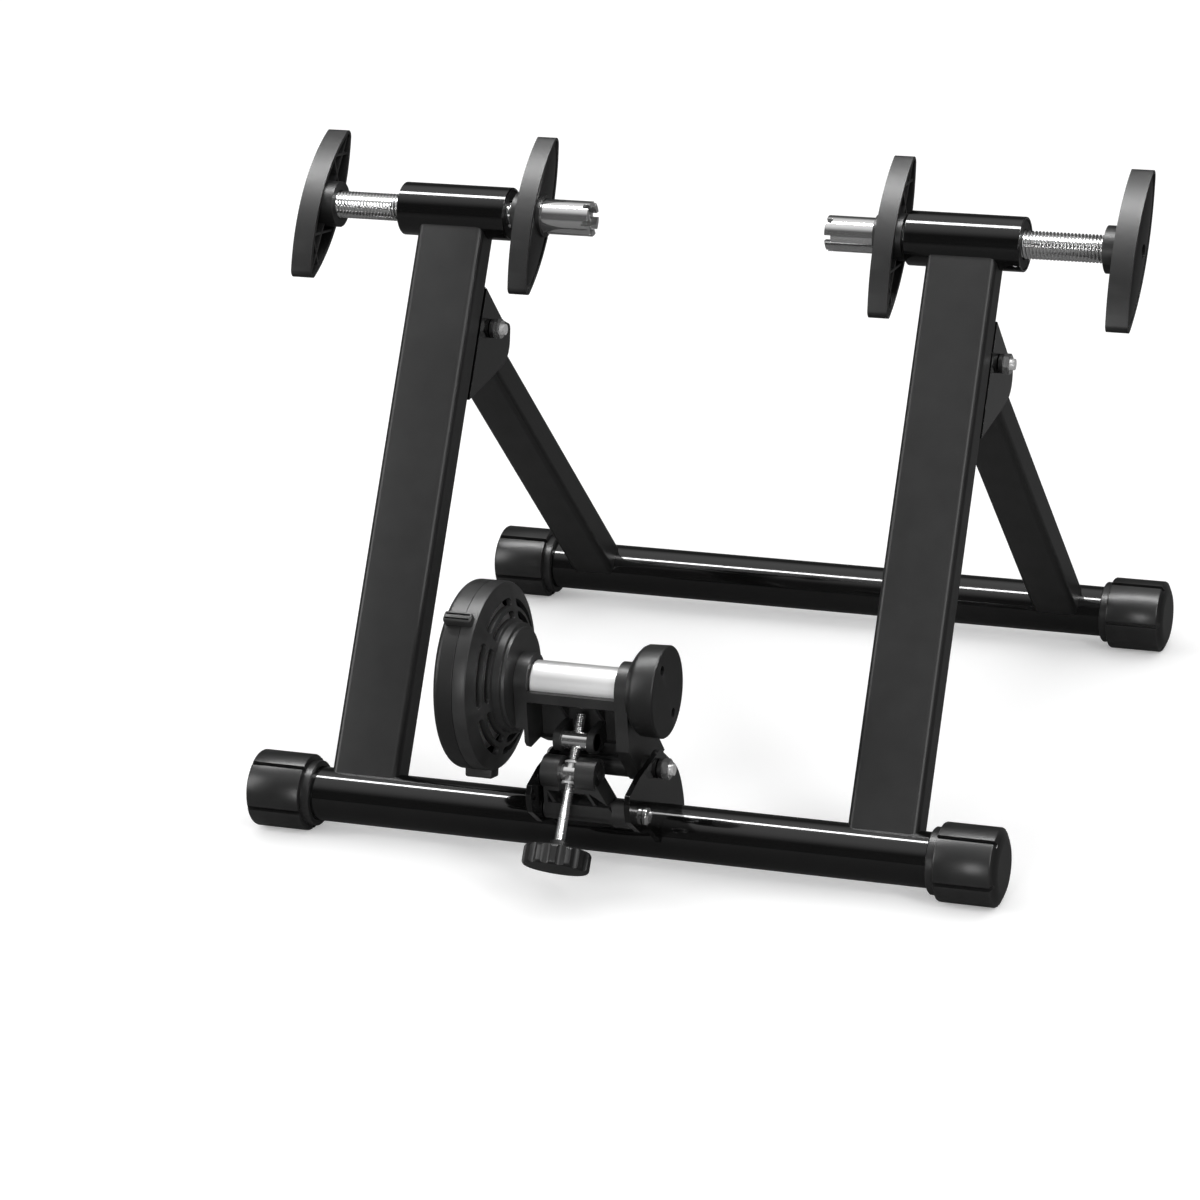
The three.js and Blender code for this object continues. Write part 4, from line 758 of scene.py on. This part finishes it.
clamps = {
    "left": dict(sign=1, wing=-289.5, lock=-139, lean=44, lockLean=38),
    "right": dict(sign=-1, wing=295.5, lock=141.5, lean=40, lockLean=38),
}
for side, spec in clamps.items():
    sign, title = spec["sign"], side.title()
    buildWing(f"outerWing{title}", spec["wing"], sign, spec["lean"], False, f"{side}_spindle",
              f"outer_wing_{side}")
    buildWing(f"lockWing{title}", spec["lock"], -sign, spec["lockLean"], True, f"{side}_lock",
              f"lock_wing_{side}")
    cupBase = spec["lock"] + sign * (wingSize["lockThick"] + fit)
    buildCup(f"cup{title}", cupBase, sign, f"{side}_cup", f"clamp_cup_{side}")
    rodStart = spec["wing"] + sign * (wingSize["socketDepth"] + wingSize["lipDepth"] + fit
                                      - wingSize["thick"])
    rodEnd = cupBase + sign * (clampSize["cupLength"] - clampSize["cupDepth"] - 3.2)
    rod = thread(f"rod{title}", clampSize["rod"], clampSize["rodRoot"], clampSize["pitch"],
                 min(rodStart, rodEnd), max(rodStart, rodEnd), barrelAxis)
    finish(rod, f"{side}_spindle", [f"threaded_rod_{side}"], "brightChrome", edge=0, limit=70)
print("clamps built")


# steel bracket over the front tube

unitSize = {"half": 37, "plate": 4, "pivot": (-15.8, 80.2), "pin": (-48.8, 59.2), "pivotRadius": 12.5,
            "nose": 27.4, "tail": 30, "bolt": 4, "pinRadius": 4, "pinHead": 6, "pinHeadDepth": 4,
            "chin": (0.37, -0.51), "throat": (-0.33, -0.29), "noseLow": (-0.91, 0.21),
            "noseTip": (-1.05, 0.62), "noseHigh": (-0.87, 0.9), "brow": (-0.15, 1.09),
            "tailTop": (0.51, 1.47), "tailTurn": (0.9, 1.1), "tailLow": (1, 0.36)}


def unitOutline():
    size = unitSize
    pin, tube = size["pin"], frontAxis

    def fromPin(share):
        return (pin[0] + share[0] * size["nose"], pin[1] + share[1] * size["nose"])

    def fromTube(share):
        return (tube[0] + share[0] * size["tail"], tube[1] + share[1] * size["tail"])

    outline = [(-frameSize["tube"], tube[1]), fromPin(size["chin"]), fromPin(size["throat"])]
    outline += bend(fromPin(size["noseLow"]), fromPin(size["noseTip"]), fromPin(size["noseHigh"]))
    outline += [fromPin(size["brow"])]
    outline += circlePoints(size["pivot"], size["pivotRadius"], 115, 40, 16)
    outline += bend(fromTube(size["tailTop"]), fromTube(size["tailTurn"]), fromTube(size["tailLow"]))
    return outline + [(size["tail"], tube[1])], fromPin(size["chin"])


def buildUnitBracket():
    size = unitSize
    outline, chin = unitOutline()
    inner = size["half"] - size["plate"]
    plate = prism("unitBracket", outline, -size["half"], -inner)
    start, end = Vector((-frameSize["tube"] / 2, frontAxis[1])), Vector(chin)
    across = (end - start).normalized() * size["plate"]
    lift = Vector((across.y, -across.x))
    floor = [tuple(start), tuple(end), tuple(end + lift), tuple(start + lift)]
    join(plate, prism("cheek", outline, inner, size["half"]), prism("floor", floor, -inner - 1, inner + 1))
    reach = size["half"] + over
    cut(plate, bar("saddle", frameSize["tube"] + 0.05, -reach, reach, frontAxis, 144),
        bar("bore", size["bolt"] + 0.2, -reach, reach, size["pivot"], 48),
        bar("bore", size["pinRadius"] + 0.2, -reach, reach, size["pin"], 48))
    finish(plate, "root", ["unit_bracket"], "glossEnamel", edge=0.9)
    buildHexBolt("yokeBolt", -size["half"], size["half"], size["pivot"], "root", "yoke_pivot_bolt")
    buildHexNut("yokeNut", size["half"], size["pivot"], "root", "yoke_pivot_nut")
    head = size["half"] + fit
    tail, tip = -size["half"] - 4, head + size["pinHeadDepth"]
    pin = turned("armPin", [(tail, 0), (tail, size["pinRadius"]), (head, size["pinRadius"]),
                            (head, size["pinHead"]), (head + 2.6, size["pinHead"]),
                            (tip, size["pinHead"] - 2.2), (tip, 0)], size["pin"], 64)
    finish(pin, "root", ["arm_pin"], "brightChrome", edge=0.3)


buildUnitBracket()
print("bracket built")


# ribbed arm and adjuster

armSize = {"half": 32.5, "gap": 6, "bossWidth": 14, "depth": 17, "wall": 2.6, "rib": 2, "ribTurn": -32,
           "hub": 8, "collar": 9.5, "boss": 11.5, "footShare": 0.61, "ribShares": (0.08, 0.36, 0.64, 0.92)}
adjusterSize = {"x": -14, "trunnion": (-48.4, 85), "lean": 35.4, "screw": 3.7, "thread": 3.5, "above": 41.5,
                "below": 47, "nutAlong": 22.6, "trunnionRadius": 6, "nut": 6, "nutLength": 29, "washer": 1.6,
                "knob": 23, "knobHeight": 14, "neck": 6, "neckHeight": 5, "flutes": 14, "fluteDepth": 1.6,
                "knobCorner": 2.5, "pitch": 1.25}
screwTurn = rad(adjusterSize["lean"])
screwAim = (Matrix.Translation((adjusterSize["x"], *adjusterSize["trunnion"]))
            @ Matrix(((0, 0, -1, 0), (math.sin(screwTurn), math.cos(screwTurn), 0, 0),
                      (math.cos(screwTurn), -math.sin(screwTurn), 0, 0), (0, 0, 0, 1))))
nutCentre = (adjusterSize["trunnion"][0] + adjusterSize["nutAlong"] * math.sin(screwTurn),
             adjusterSize["trunnion"][1] + adjusterSize["nutAlong"] * math.cos(screwTurn))


# A bar on the screw's line, as a tool, between two distances from the trunnion.
def screwBar(name, radius, start, end, steps=48):
    made = bar(name, radius, start, end, steps=steps)
    made.data.transform(screwAim)
    return made


def buildArm():
    size, pin, swivel = armSize, unitSize["pin"], adjusterSize["trunnion"]
    x = adjusterSize["x"]
    left, edge = -size["half"], size["wall"] / 2
    bossRight = x + size["gap"] + size["bossWidth"]
    footRight = size["half"] * size["footShare"]
    front, back = pin[0] - size["depth"] / 2, pin[0] + size["depth"] / 2
    foot = pin[1] - edge
    outline = [(left + edge, foot), (footRight, foot), (bossRight - edge, swivel[1]),
               (left + edge, swivel[1])]
    low, high = pin[1] + size["hub"] - edge, swivel[1] - size["boss"] + edge
    pocket = [(left + size["wall"] + edge, low), (footRight - size["wall"], low),
              (bossRight - size["wall"] - edge, high), (left + size["wall"] + edge, high)]
    arm = frontPrism("adjusterArm", outline, front, back)
    cut(arm, frontPrism("pocket", pocket, front - over, back - size["wall"]))
    ribs = [box("rib", (size["rib"], size["depth"], 2 * size["half"]),
                (left + share * (footRight - left), pin[0], (pin[1] + swivel[1]) / 2), size["ribTurn"], "Y")
            for share in size["ribShares"]]
    first = ribs[0]
    join(first, *ribs[1:])
    combine(first, [frontPrism("zone", outline, front + edge, back - edge)], "INTERSECT")
    join(arm, first, bar("boss", size["boss"], left, bossRight, swivel, 96),
         bar("hub", size["hub"], left, size["half"], pin, 96),
         bar("collar", size["collar"], footRight - size["wall"], size["half"] - edge, pin, 96))
    slotLow = pin[1] + size["hub"] - edge
    slotHigh = swivel[1] + size["boss"] + over
    bore, dish = adjusterSize["trunnionRadius"] + 0.3, size["boss"] - size["wall"]
    cut(arm, box("slot", (2 * size["gap"], size["depth"] * 2, slotHigh - slotLow),
                 (x, pin[0], (slotLow + slotHigh) / 2)),
        bar("bore", unitSize["pinRadius"] + 0.3, -100, 100, pin, 48),
        bar("bore", bore, left + size["wall"], bossRight - size["wall"], swivel, 48),
        *[turned("dish", [(end - 1.2, 3), (end - 1.2, dish), (end + 1.2, dish), (end + 1.2, 3)], swivel, 64)
          for end in (left, bossRight)])
    finish(arm, "root", ["adjuster_arm"], "mouldedNylon", edge=0.5, limit=28)


def buildAdjuster():
    size = adjusterSize
    x, gap = size["x"], armSize["gap"]
    shoulder = size["trunnionRadius"] + fit
    reach = gap + armSize["boss"] * 0.7
    pivot = bar("trunnion", size["trunnionRadius"], x - reach, x + reach, size["trunnion"], 64)
    join(pivot, screwBar("ball", gap - 0.5, -size["trunnionRadius"], size["trunnionRadius"], 64))
    cut(pivot, screwBar("bore", size["screw"] + 0.3, -size["below"], size["above"]))
    finish(pivot, "trunnion_swivel", ["trunnion"], "brightChrome", edge=0.4)
    below, above = size["below"], size["above"]
    root = size["thread"] - 0.5
    lower = thread("screwLower", size["screw"], size["screw"] - 0.55, size["pitch"], -below, 0, (0, 0), 24)
    upper = thread("screwUpper", size["thread"], root, size["pitch"], -2, above, (0, 0), 24)
    tip = turned("screwTip", [(above - 2.6, 0), (above - 2.6, root), (above - 1, root),
                              (above, size["thread"] - 1.4), (above, 0)], steps=32)
    finish(lower, "adjuster", ["adjusting_screw"], "brightChrome", edge=0, limit=70, aim=screwAim)
    finish(upper, "adjuster", [], "brightChrome", edge=0, limit=70, aim=screwAim)
    finish(tip, "adjuster", [], "brightChrome", edge=0.3, aim=screwAim)
    for name, start in (("lower", -shoulder - size["washer"]), ("upper", shoulder)):
        ring = turned(f"washer{name.title()}", [(start, size["screw"] + 0.2), (start, gap - 0.4),
                                                (start + size["washer"], gap - 0.4),
                                                (start + size["washer"], size["screw"] + 0.2)], steps=48)
        finish(ring, "adjuster", [f"thrust_washer_{name}"], "brightZinc", edge=0.2, aim=screwAim)
    half = size["nutLength"] / 2
    barrel = bar("barrelNut", size["nut"], x - half, x + half, nutCentre, 64)
    cut(barrel, screwBar("bore", size["thread"] + 0.3, -below, above + over))
    finish(barrel, "nut_swivel", ["barrel_nut"], "brightChrome", edge=0.6)
    top = -below - fit
    grip, corner = size["knob"], size["knobCorner"]
    start, end = top - size["neckHeight"], top - size["neckHeight"] - size["knobHeight"]
    rounded = [(start - corner * (1 - math.cos(rad(a))), grip - corner + corner * math.sin(rad(a)))
               for a in range(0, 91, 15)]
    foot = [(end + corner * (1 - math.sin(rad(a))), grip - corner + corner * math.cos(rad(a)))
            for a in range(0, 91, 15)]
    knob = turned("knob", [(top, 0), (top, size["neck"]), (start, size["neck"] + 1.2)] + rounded + foot
                  + [(end, 0)], steps=112)
    ring = circlePoints((0, 0), grip + 2 * size["fluteDepth"], 0, 360, size["flutes"])[:-1]
    flutes = [bar("flute", 3 * size["fluteDepth"], end - over, start + over, place, 24) for place in ring]
    cut(knob, *flutes)
    finish(knob, "adjuster", ["adjusting_knob"], "mouldedNylon", edge=0.6, aim=screwAim)


buildArm()
buildAdjuster()
print("adjuster built")


# roller unit

rollerSize = {"axis": (-26, 141.1), "radius": 13.5, "length": 62, "centre": -14, "wall": 9, "front": 18,
              "shaft": 5, "bearing": 13, "lipHeight": 7, "lipDrop": 6.1, "lipDepth": 5, "web": 3,
              "rib": 2.4, "tube": 8, "knee": 22, "cradle": 5, "cradleSkin": 2, "footReach": 40,
              "footHeight": 4, "leftDrop": 29.3, "leftSlant": 8, "barDepth": 7.2, "barPitch": 4.8}
drumSize = {"radius": 64.5, "wall": 2.6, "outer": 15, "inner": 10, "hub": 35, "hubRise": 15, "corner": 5,
            "sectors": 6, "sweep": 44, "turn": 8, "ventOuter": 51, "ventInner": 42.5, "ventWidth": 5.5,
            "clips": ((-55, 8), (77, 13), (177, 13)), "clipRise": 6, "clipLength": 20,
            "domeShares": (0.25, 0.52, 0.84)}
capSpec = {"radius": 31.5, "length": 22.5, "neck": 22, "screwRadius": 20.5, "screwTurn": 25, "screw": 3.25,
           "hole": 14}
leftInner = rollerSize["centre"] - rollerSize["length"] / 2 - 0.5
rightInner = rollerSize["centre"] + rollerSize["length"] / 2 + 0.5
leftOuter = leftInner - rollerSize["wall"]
rightOuter = rightInner + rollerSize["wall"]


def yokeWallOutline(withFoot):
    size, pivot, axis = rollerSize, unitSize["pivot"], rollerSize["axis"]
    boss = size["tube"] + size["rib"] / 2
    front = axis[0] - size["front"]
    outline = [(front, pivot[1] + size["knee"])]
    outline += circlePoints(pivot, boss, 220, 300, 10)
    if withFoot:
        outline += [(pivot[0] + size["footReach"], pivot[1] - size["footHeight"]),
                    (pivot[0] + size["footReach"] / 2, pivot[1] + size["knee"])]
    outline += [(axis[0] + size["front"], axis[1] - 16)]
    outline += circlePoints(axis, size["front"], 0, 180, 40)
    return outline


def buildYoke():
    size, pivot, axis = rollerSize, unitSize["pivot"], rollerSize["axis"]
    low, high = -unitSize["half"] + unitSize["plate"] + 0.5, unitSize["half"] - unitSize["plate"] - 0.5
    front, back = axis[0] - size["front"], pivot[0]
    width = size["length"] + 2 * size["wall"]
    middle = size["centre"]
    lipMiddle = axis[1] - size["lipDrop"]
    webTop = axis[1] - size["radius"] + size["rib"]
    webFace = back + size["web"] / 2
    seat = size["radius"] + 0.5
    yoke = prism("yoke", yokeWallOutline(False), leftOuter, leftInner)
    trough = bar("trough", seat + size["rib"], leftOuter + 1, rightOuter - 1, axis, 96)
    combine(trough, [box("under", (width + 2, webFace - front, 2 * size["radius"]),
                         (middle, (webFace + front) / 2, lipMiddle - size["radius"]))], "INTERSECT")
    parts = [prism("wall", yokeWallOutline(True), rightInner, rightOuter),
             box("lip", (width - 0.4, size["lipDepth"], size["lipHeight"]),
                 (middle, front + size["lipDepth"] / 2 + 0.01, lipMiddle)),
             box("web", (width - 0.6, size["web"], webTop - pivot[1]),
                 (middle, back, (webTop + pivot[1]) / 2)),
             trough, bar("tube", size["tube"], low, high, pivot, 96)]
    radius = adjusterSize["nut"] + size["cradleSkin"]
    x = adjusterSize["x"]
    nutStart, nutEnd = x - adjusterSize["nutLength"] / 2, x + adjusterSize["nutLength"] / 2
    for start in (nutStart, nutEnd - size["cradle"]):
        parts.append(bar("cradle", radius, start, start + size["cradle"], nutCentre, 64))
        parts.append(box("cradleArm", (size["cradle"] - 0.02, back - nutCentre[0], 2 * radius - 0.02),
                         (start + size["cradle"] / 2, (back + nutCentre[0]) / 2, nutCentre[1])))
    gusset = [(front + size["lipDepth"], lipMiddle), (back, nutCentre[1] + adjusterSize["nut"]),
              (back, webTop), (axis[0], axis[1] - seat)]
    for start in (nutStart + 0.3, nutEnd - size["rib"] - 0.3):
        parts.append(prism("gusset", gusset, start, start + size["rib"]))
    between = (pivot[1] + nutCentre[1]) / 2
    for step in (-1, 1):
        parts.append(box("bar", (size["length"] + size["wall"], size["barDepth"], size["rib"]),
                         (middle, back - size["web"], between + step * size["barPitch"])))
    join(yoke, *parts)
    reach = 150
    clearTop = pivot[1] + unitSize["pivotRadius"]
    slant = [(low, clearTop), (low, clearTop - 1), (leftOuter - 1, clearTop - 1),
             (leftOuter - 1, clearTop + size["leftSlant"])]
    cut(yoke,
        box("clear", (100, 200, 60), (low - 50, pivot[0], clearTop - 30)),
        frontPrism("slant", slant, -reach, reach),
        box("hubWay", (40, 200, 80),
            (leftInner - size["web"] - 20, axis[0], axis[1] - size["leftDrop"] - 40)),
        bar("bore", unitSize["bolt"] + 0.3, -reach, reach, pivot, 48),
        bar("seat", size["bearing"] + 0.2, leftOuter + 1, leftInner + over, axis, 96),
        bar("seat", size["bearing"] + 0.2, rightInner - over, rightOuter - 1, axis, 96),
        bar("shaftHole", size["shaft"] + 0.5, -reach, reach, axis, 64),
        bar("clearRoller", seat, leftInner, rightInner, axis, 96),
        bar("cradleBore", adjusterSize["nut"] + 0.2, x - 18, x + 18, nutCentre, 64),
        screwBar("screwWay", adjusterSize["screw"] + 1, 2, adjusterSize["above"] + 4))
    finish(yoke, "roller_yoke", ["yoke"], "mouldedNylon", edge=0.5, limit=28)


drumFace = leftOuter - fit
drumJoint = drumFace - drumSize["hubRise"] - drumSize["inner"]
drumBack = drumJoint - drumSize["outer"]


def ventOutline(middle, radius):
    half, swing = drumSize["ventWidth"] / 2, drumSize["sweep"] / 2
    start, end = middle - swing, middle + swing
    ends = [(radius * math.cos(rad(a)), radius * math.sin(rad(a))) for a in (end, start)]
    outline = circlePoints((0, 0), radius + half, start, end, 20)
    outline += circlePoints(ends[0], half, end, end + 180, 10)[1:]
    outline += circlePoints((0, 0), radius - half, end, start, 20)[1:]
    outline += circlePoints(ends[1], half, start + 180, start + 360, 10)[1:-1]
    return outline


def buildDrum():
    size = drumSize
    rim, wall = size["radius"], size["wall"]
    face = drumFace - size["hubRise"]
    step = size["hub"] + wall
    hole = rollerSize["shaft"] + 1
    one, two, three = (face + size["hubRise"] * share for share in size["domeShares"])
    inner = turned("drumInner", [
        (drumJoint, rim - wall), (drumJoint, rim), (face - 2, rim), (face - 0.8, rim - 0.6),
        (face, rim - wall), (one, size["ventOuter"]), (two, step), (three, step),
        (three + 0.5, size["hub"]), (drumFace, size["hub"] - 0.4), (drumFace, hole), (drumFace - wall, hole),
        (drumFace - wall, size["hub"] - wall), (two - wall, size["hub"]), (face - wall, rim - 2 * wall),
        (face - wall, rim - wall)], (0, 0), 160)
    slots = []
    for i in range(size["sectors"]):
        middle = 90 + size["turn"] + i * 360 / size["sectors"]
        for radius in (size["ventOuter"], size["ventInner"]):
            slots.append(prism("slot", ventOutline(middle, radius), drumJoint + wall, drumFace + over))
    cut(inner, *slots)
    centre = (face + drumBack) / 2
    rise = size["clipRise"]
    pads = []
    for turn, clipWidth in size["clips"]:
        pad = box("pad", (size["clipLength"], rise + wall, clipWidth), (centre, -rim - (rise - wall) / 2, 0),
                  soften=1.6)
        cut(pad, *[box("groove", (size["clipLength"] * 0.86, rise, clipWidth * 0.16),
                       (centre, -rim - rise * 1.2, side * clipWidth * 0.22)) for side in (-1, 1)])
        pad.data.transform(Matrix.Rotation(rad(turn), 4, "X"))
        cut(pad, bar("round", rim + fit, drumBack - over, drumJoint - 0.15, steps=160))
        pads.append(pad)
    join(inner, *pads)
    aim = Matrix.Translation((0, *rollerSize["axis"]))
    finish(inner, "roller_yoke", ["drum_shell_inner"], "mouldedNylon", edge=0.6, limit=28, aim=aim)
    corner = size["corner"]
    rounded = [(drumBack + corner - corner * math.sin(rad(a)), rim - corner + corner * math.cos(rad(a)))
               for a in range(0, 91, 10)]
    outer = turned("drumOuter", [(drumJoint - fit, rim)] + rounded + [
        (drumBack, 30), (drumBack + 1, 28), (drumBack + 1, 0), (drumBack + wall, 0),
        (drumBack + wall, rim - corner), (drumBack + corner, rim - wall), (drumJoint - fit, rim - wall),
        (drumJoint - fit, rim)], (0, 0), 160)
    finish(outer, "roller_yoke", ["drum_shell_outer"], "mouldedNylon", edge=0.5, limit=28, aim=aim)


def buildRoller():
    size = rollerSize
    start, end, radius = leftInner + 0.5, rightInner - 0.5, size["radius"]
    bore = size["shaft"] + 0.2
    roller = turned("roller", [(start, bore), (start, radius - 0.8), (start + 0.8, radius),
                               (end - 0.8, radius), (end, radius - 0.8), (end, bore)], size["axis"], 160)
    finish(roller, "rotor", ["roller"], "turnedSteel", edge=0)


def buildBearingCap():
    size, axis = capSpec, rollerSize["axis"]
    start = rightOuter + fit
    end = start + size["length"]
    radius = size["radius"]
    spread = radius - size["neck"] - 0.5
    cone = [(start + size["length"] * 0.36 * share, size["neck"] + spread * rise)
            for share, rise in ((0, 0), (0.35, 0.5), (0.7, 0.86), (1, 1))]
    cap = turned("bearingCap", [(start, 0)] + cone + [
        (end - 1, radius), (end - 0.3, radius - 0.5), (end, radius - 1.2), (end, radius - 1.7),
        (end, 0)], axis, 160)
    tools = [bar("bore", rollerSize["shaft"] + 1, start - over, rightOuter + 12.5, axis, 64)]
    angle = 90 + size["screwTurn"]
    places = circlePoints(axis, size["screwRadius"], angle, angle + 180, 1)
    for place in places:
        tools.append(bar("hole", size["screw"] + 0.3, end - size["hole"], end + over, place, 48))
    cut(cap, *tools)
    finish(cap, "roller_yoke", ["bearing_cap"], "mouldedNylon", edge=0.6, limit=28)
    for i, centre in enumerate(places):
        floor = end - size["hole"] + fit
        head = bar(f"capScrew{i + 1}", size["screw"], floor, floor + 7, centre, 48)
        cut(head, hexagon("socket", size["screw"], floor + 3.5, floor + size["hole"], centre))
        finish(head, "roller_yoke", [f"cap_screw_{i + 1}"], "brightZinc", edge=0.2)


buildYoke()
buildDrum()
buildRoller()
buildBearingCap()
print("roller unit built")


# the nodes that stay get their finish

kept = {
    "magnet_plate": "magnetPlate", "brake_disc": "castAluminium", "bearing_left": "brightChrome",
    "bearing_right": "brightChrome", "roller_shaft": "brightZinc", "arm_pin_clip": "brightZinc",
}
for node, look in kept.items():
    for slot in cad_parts[node].material_slots:
        slot.material = materials[look]
print("kept nodes finished")
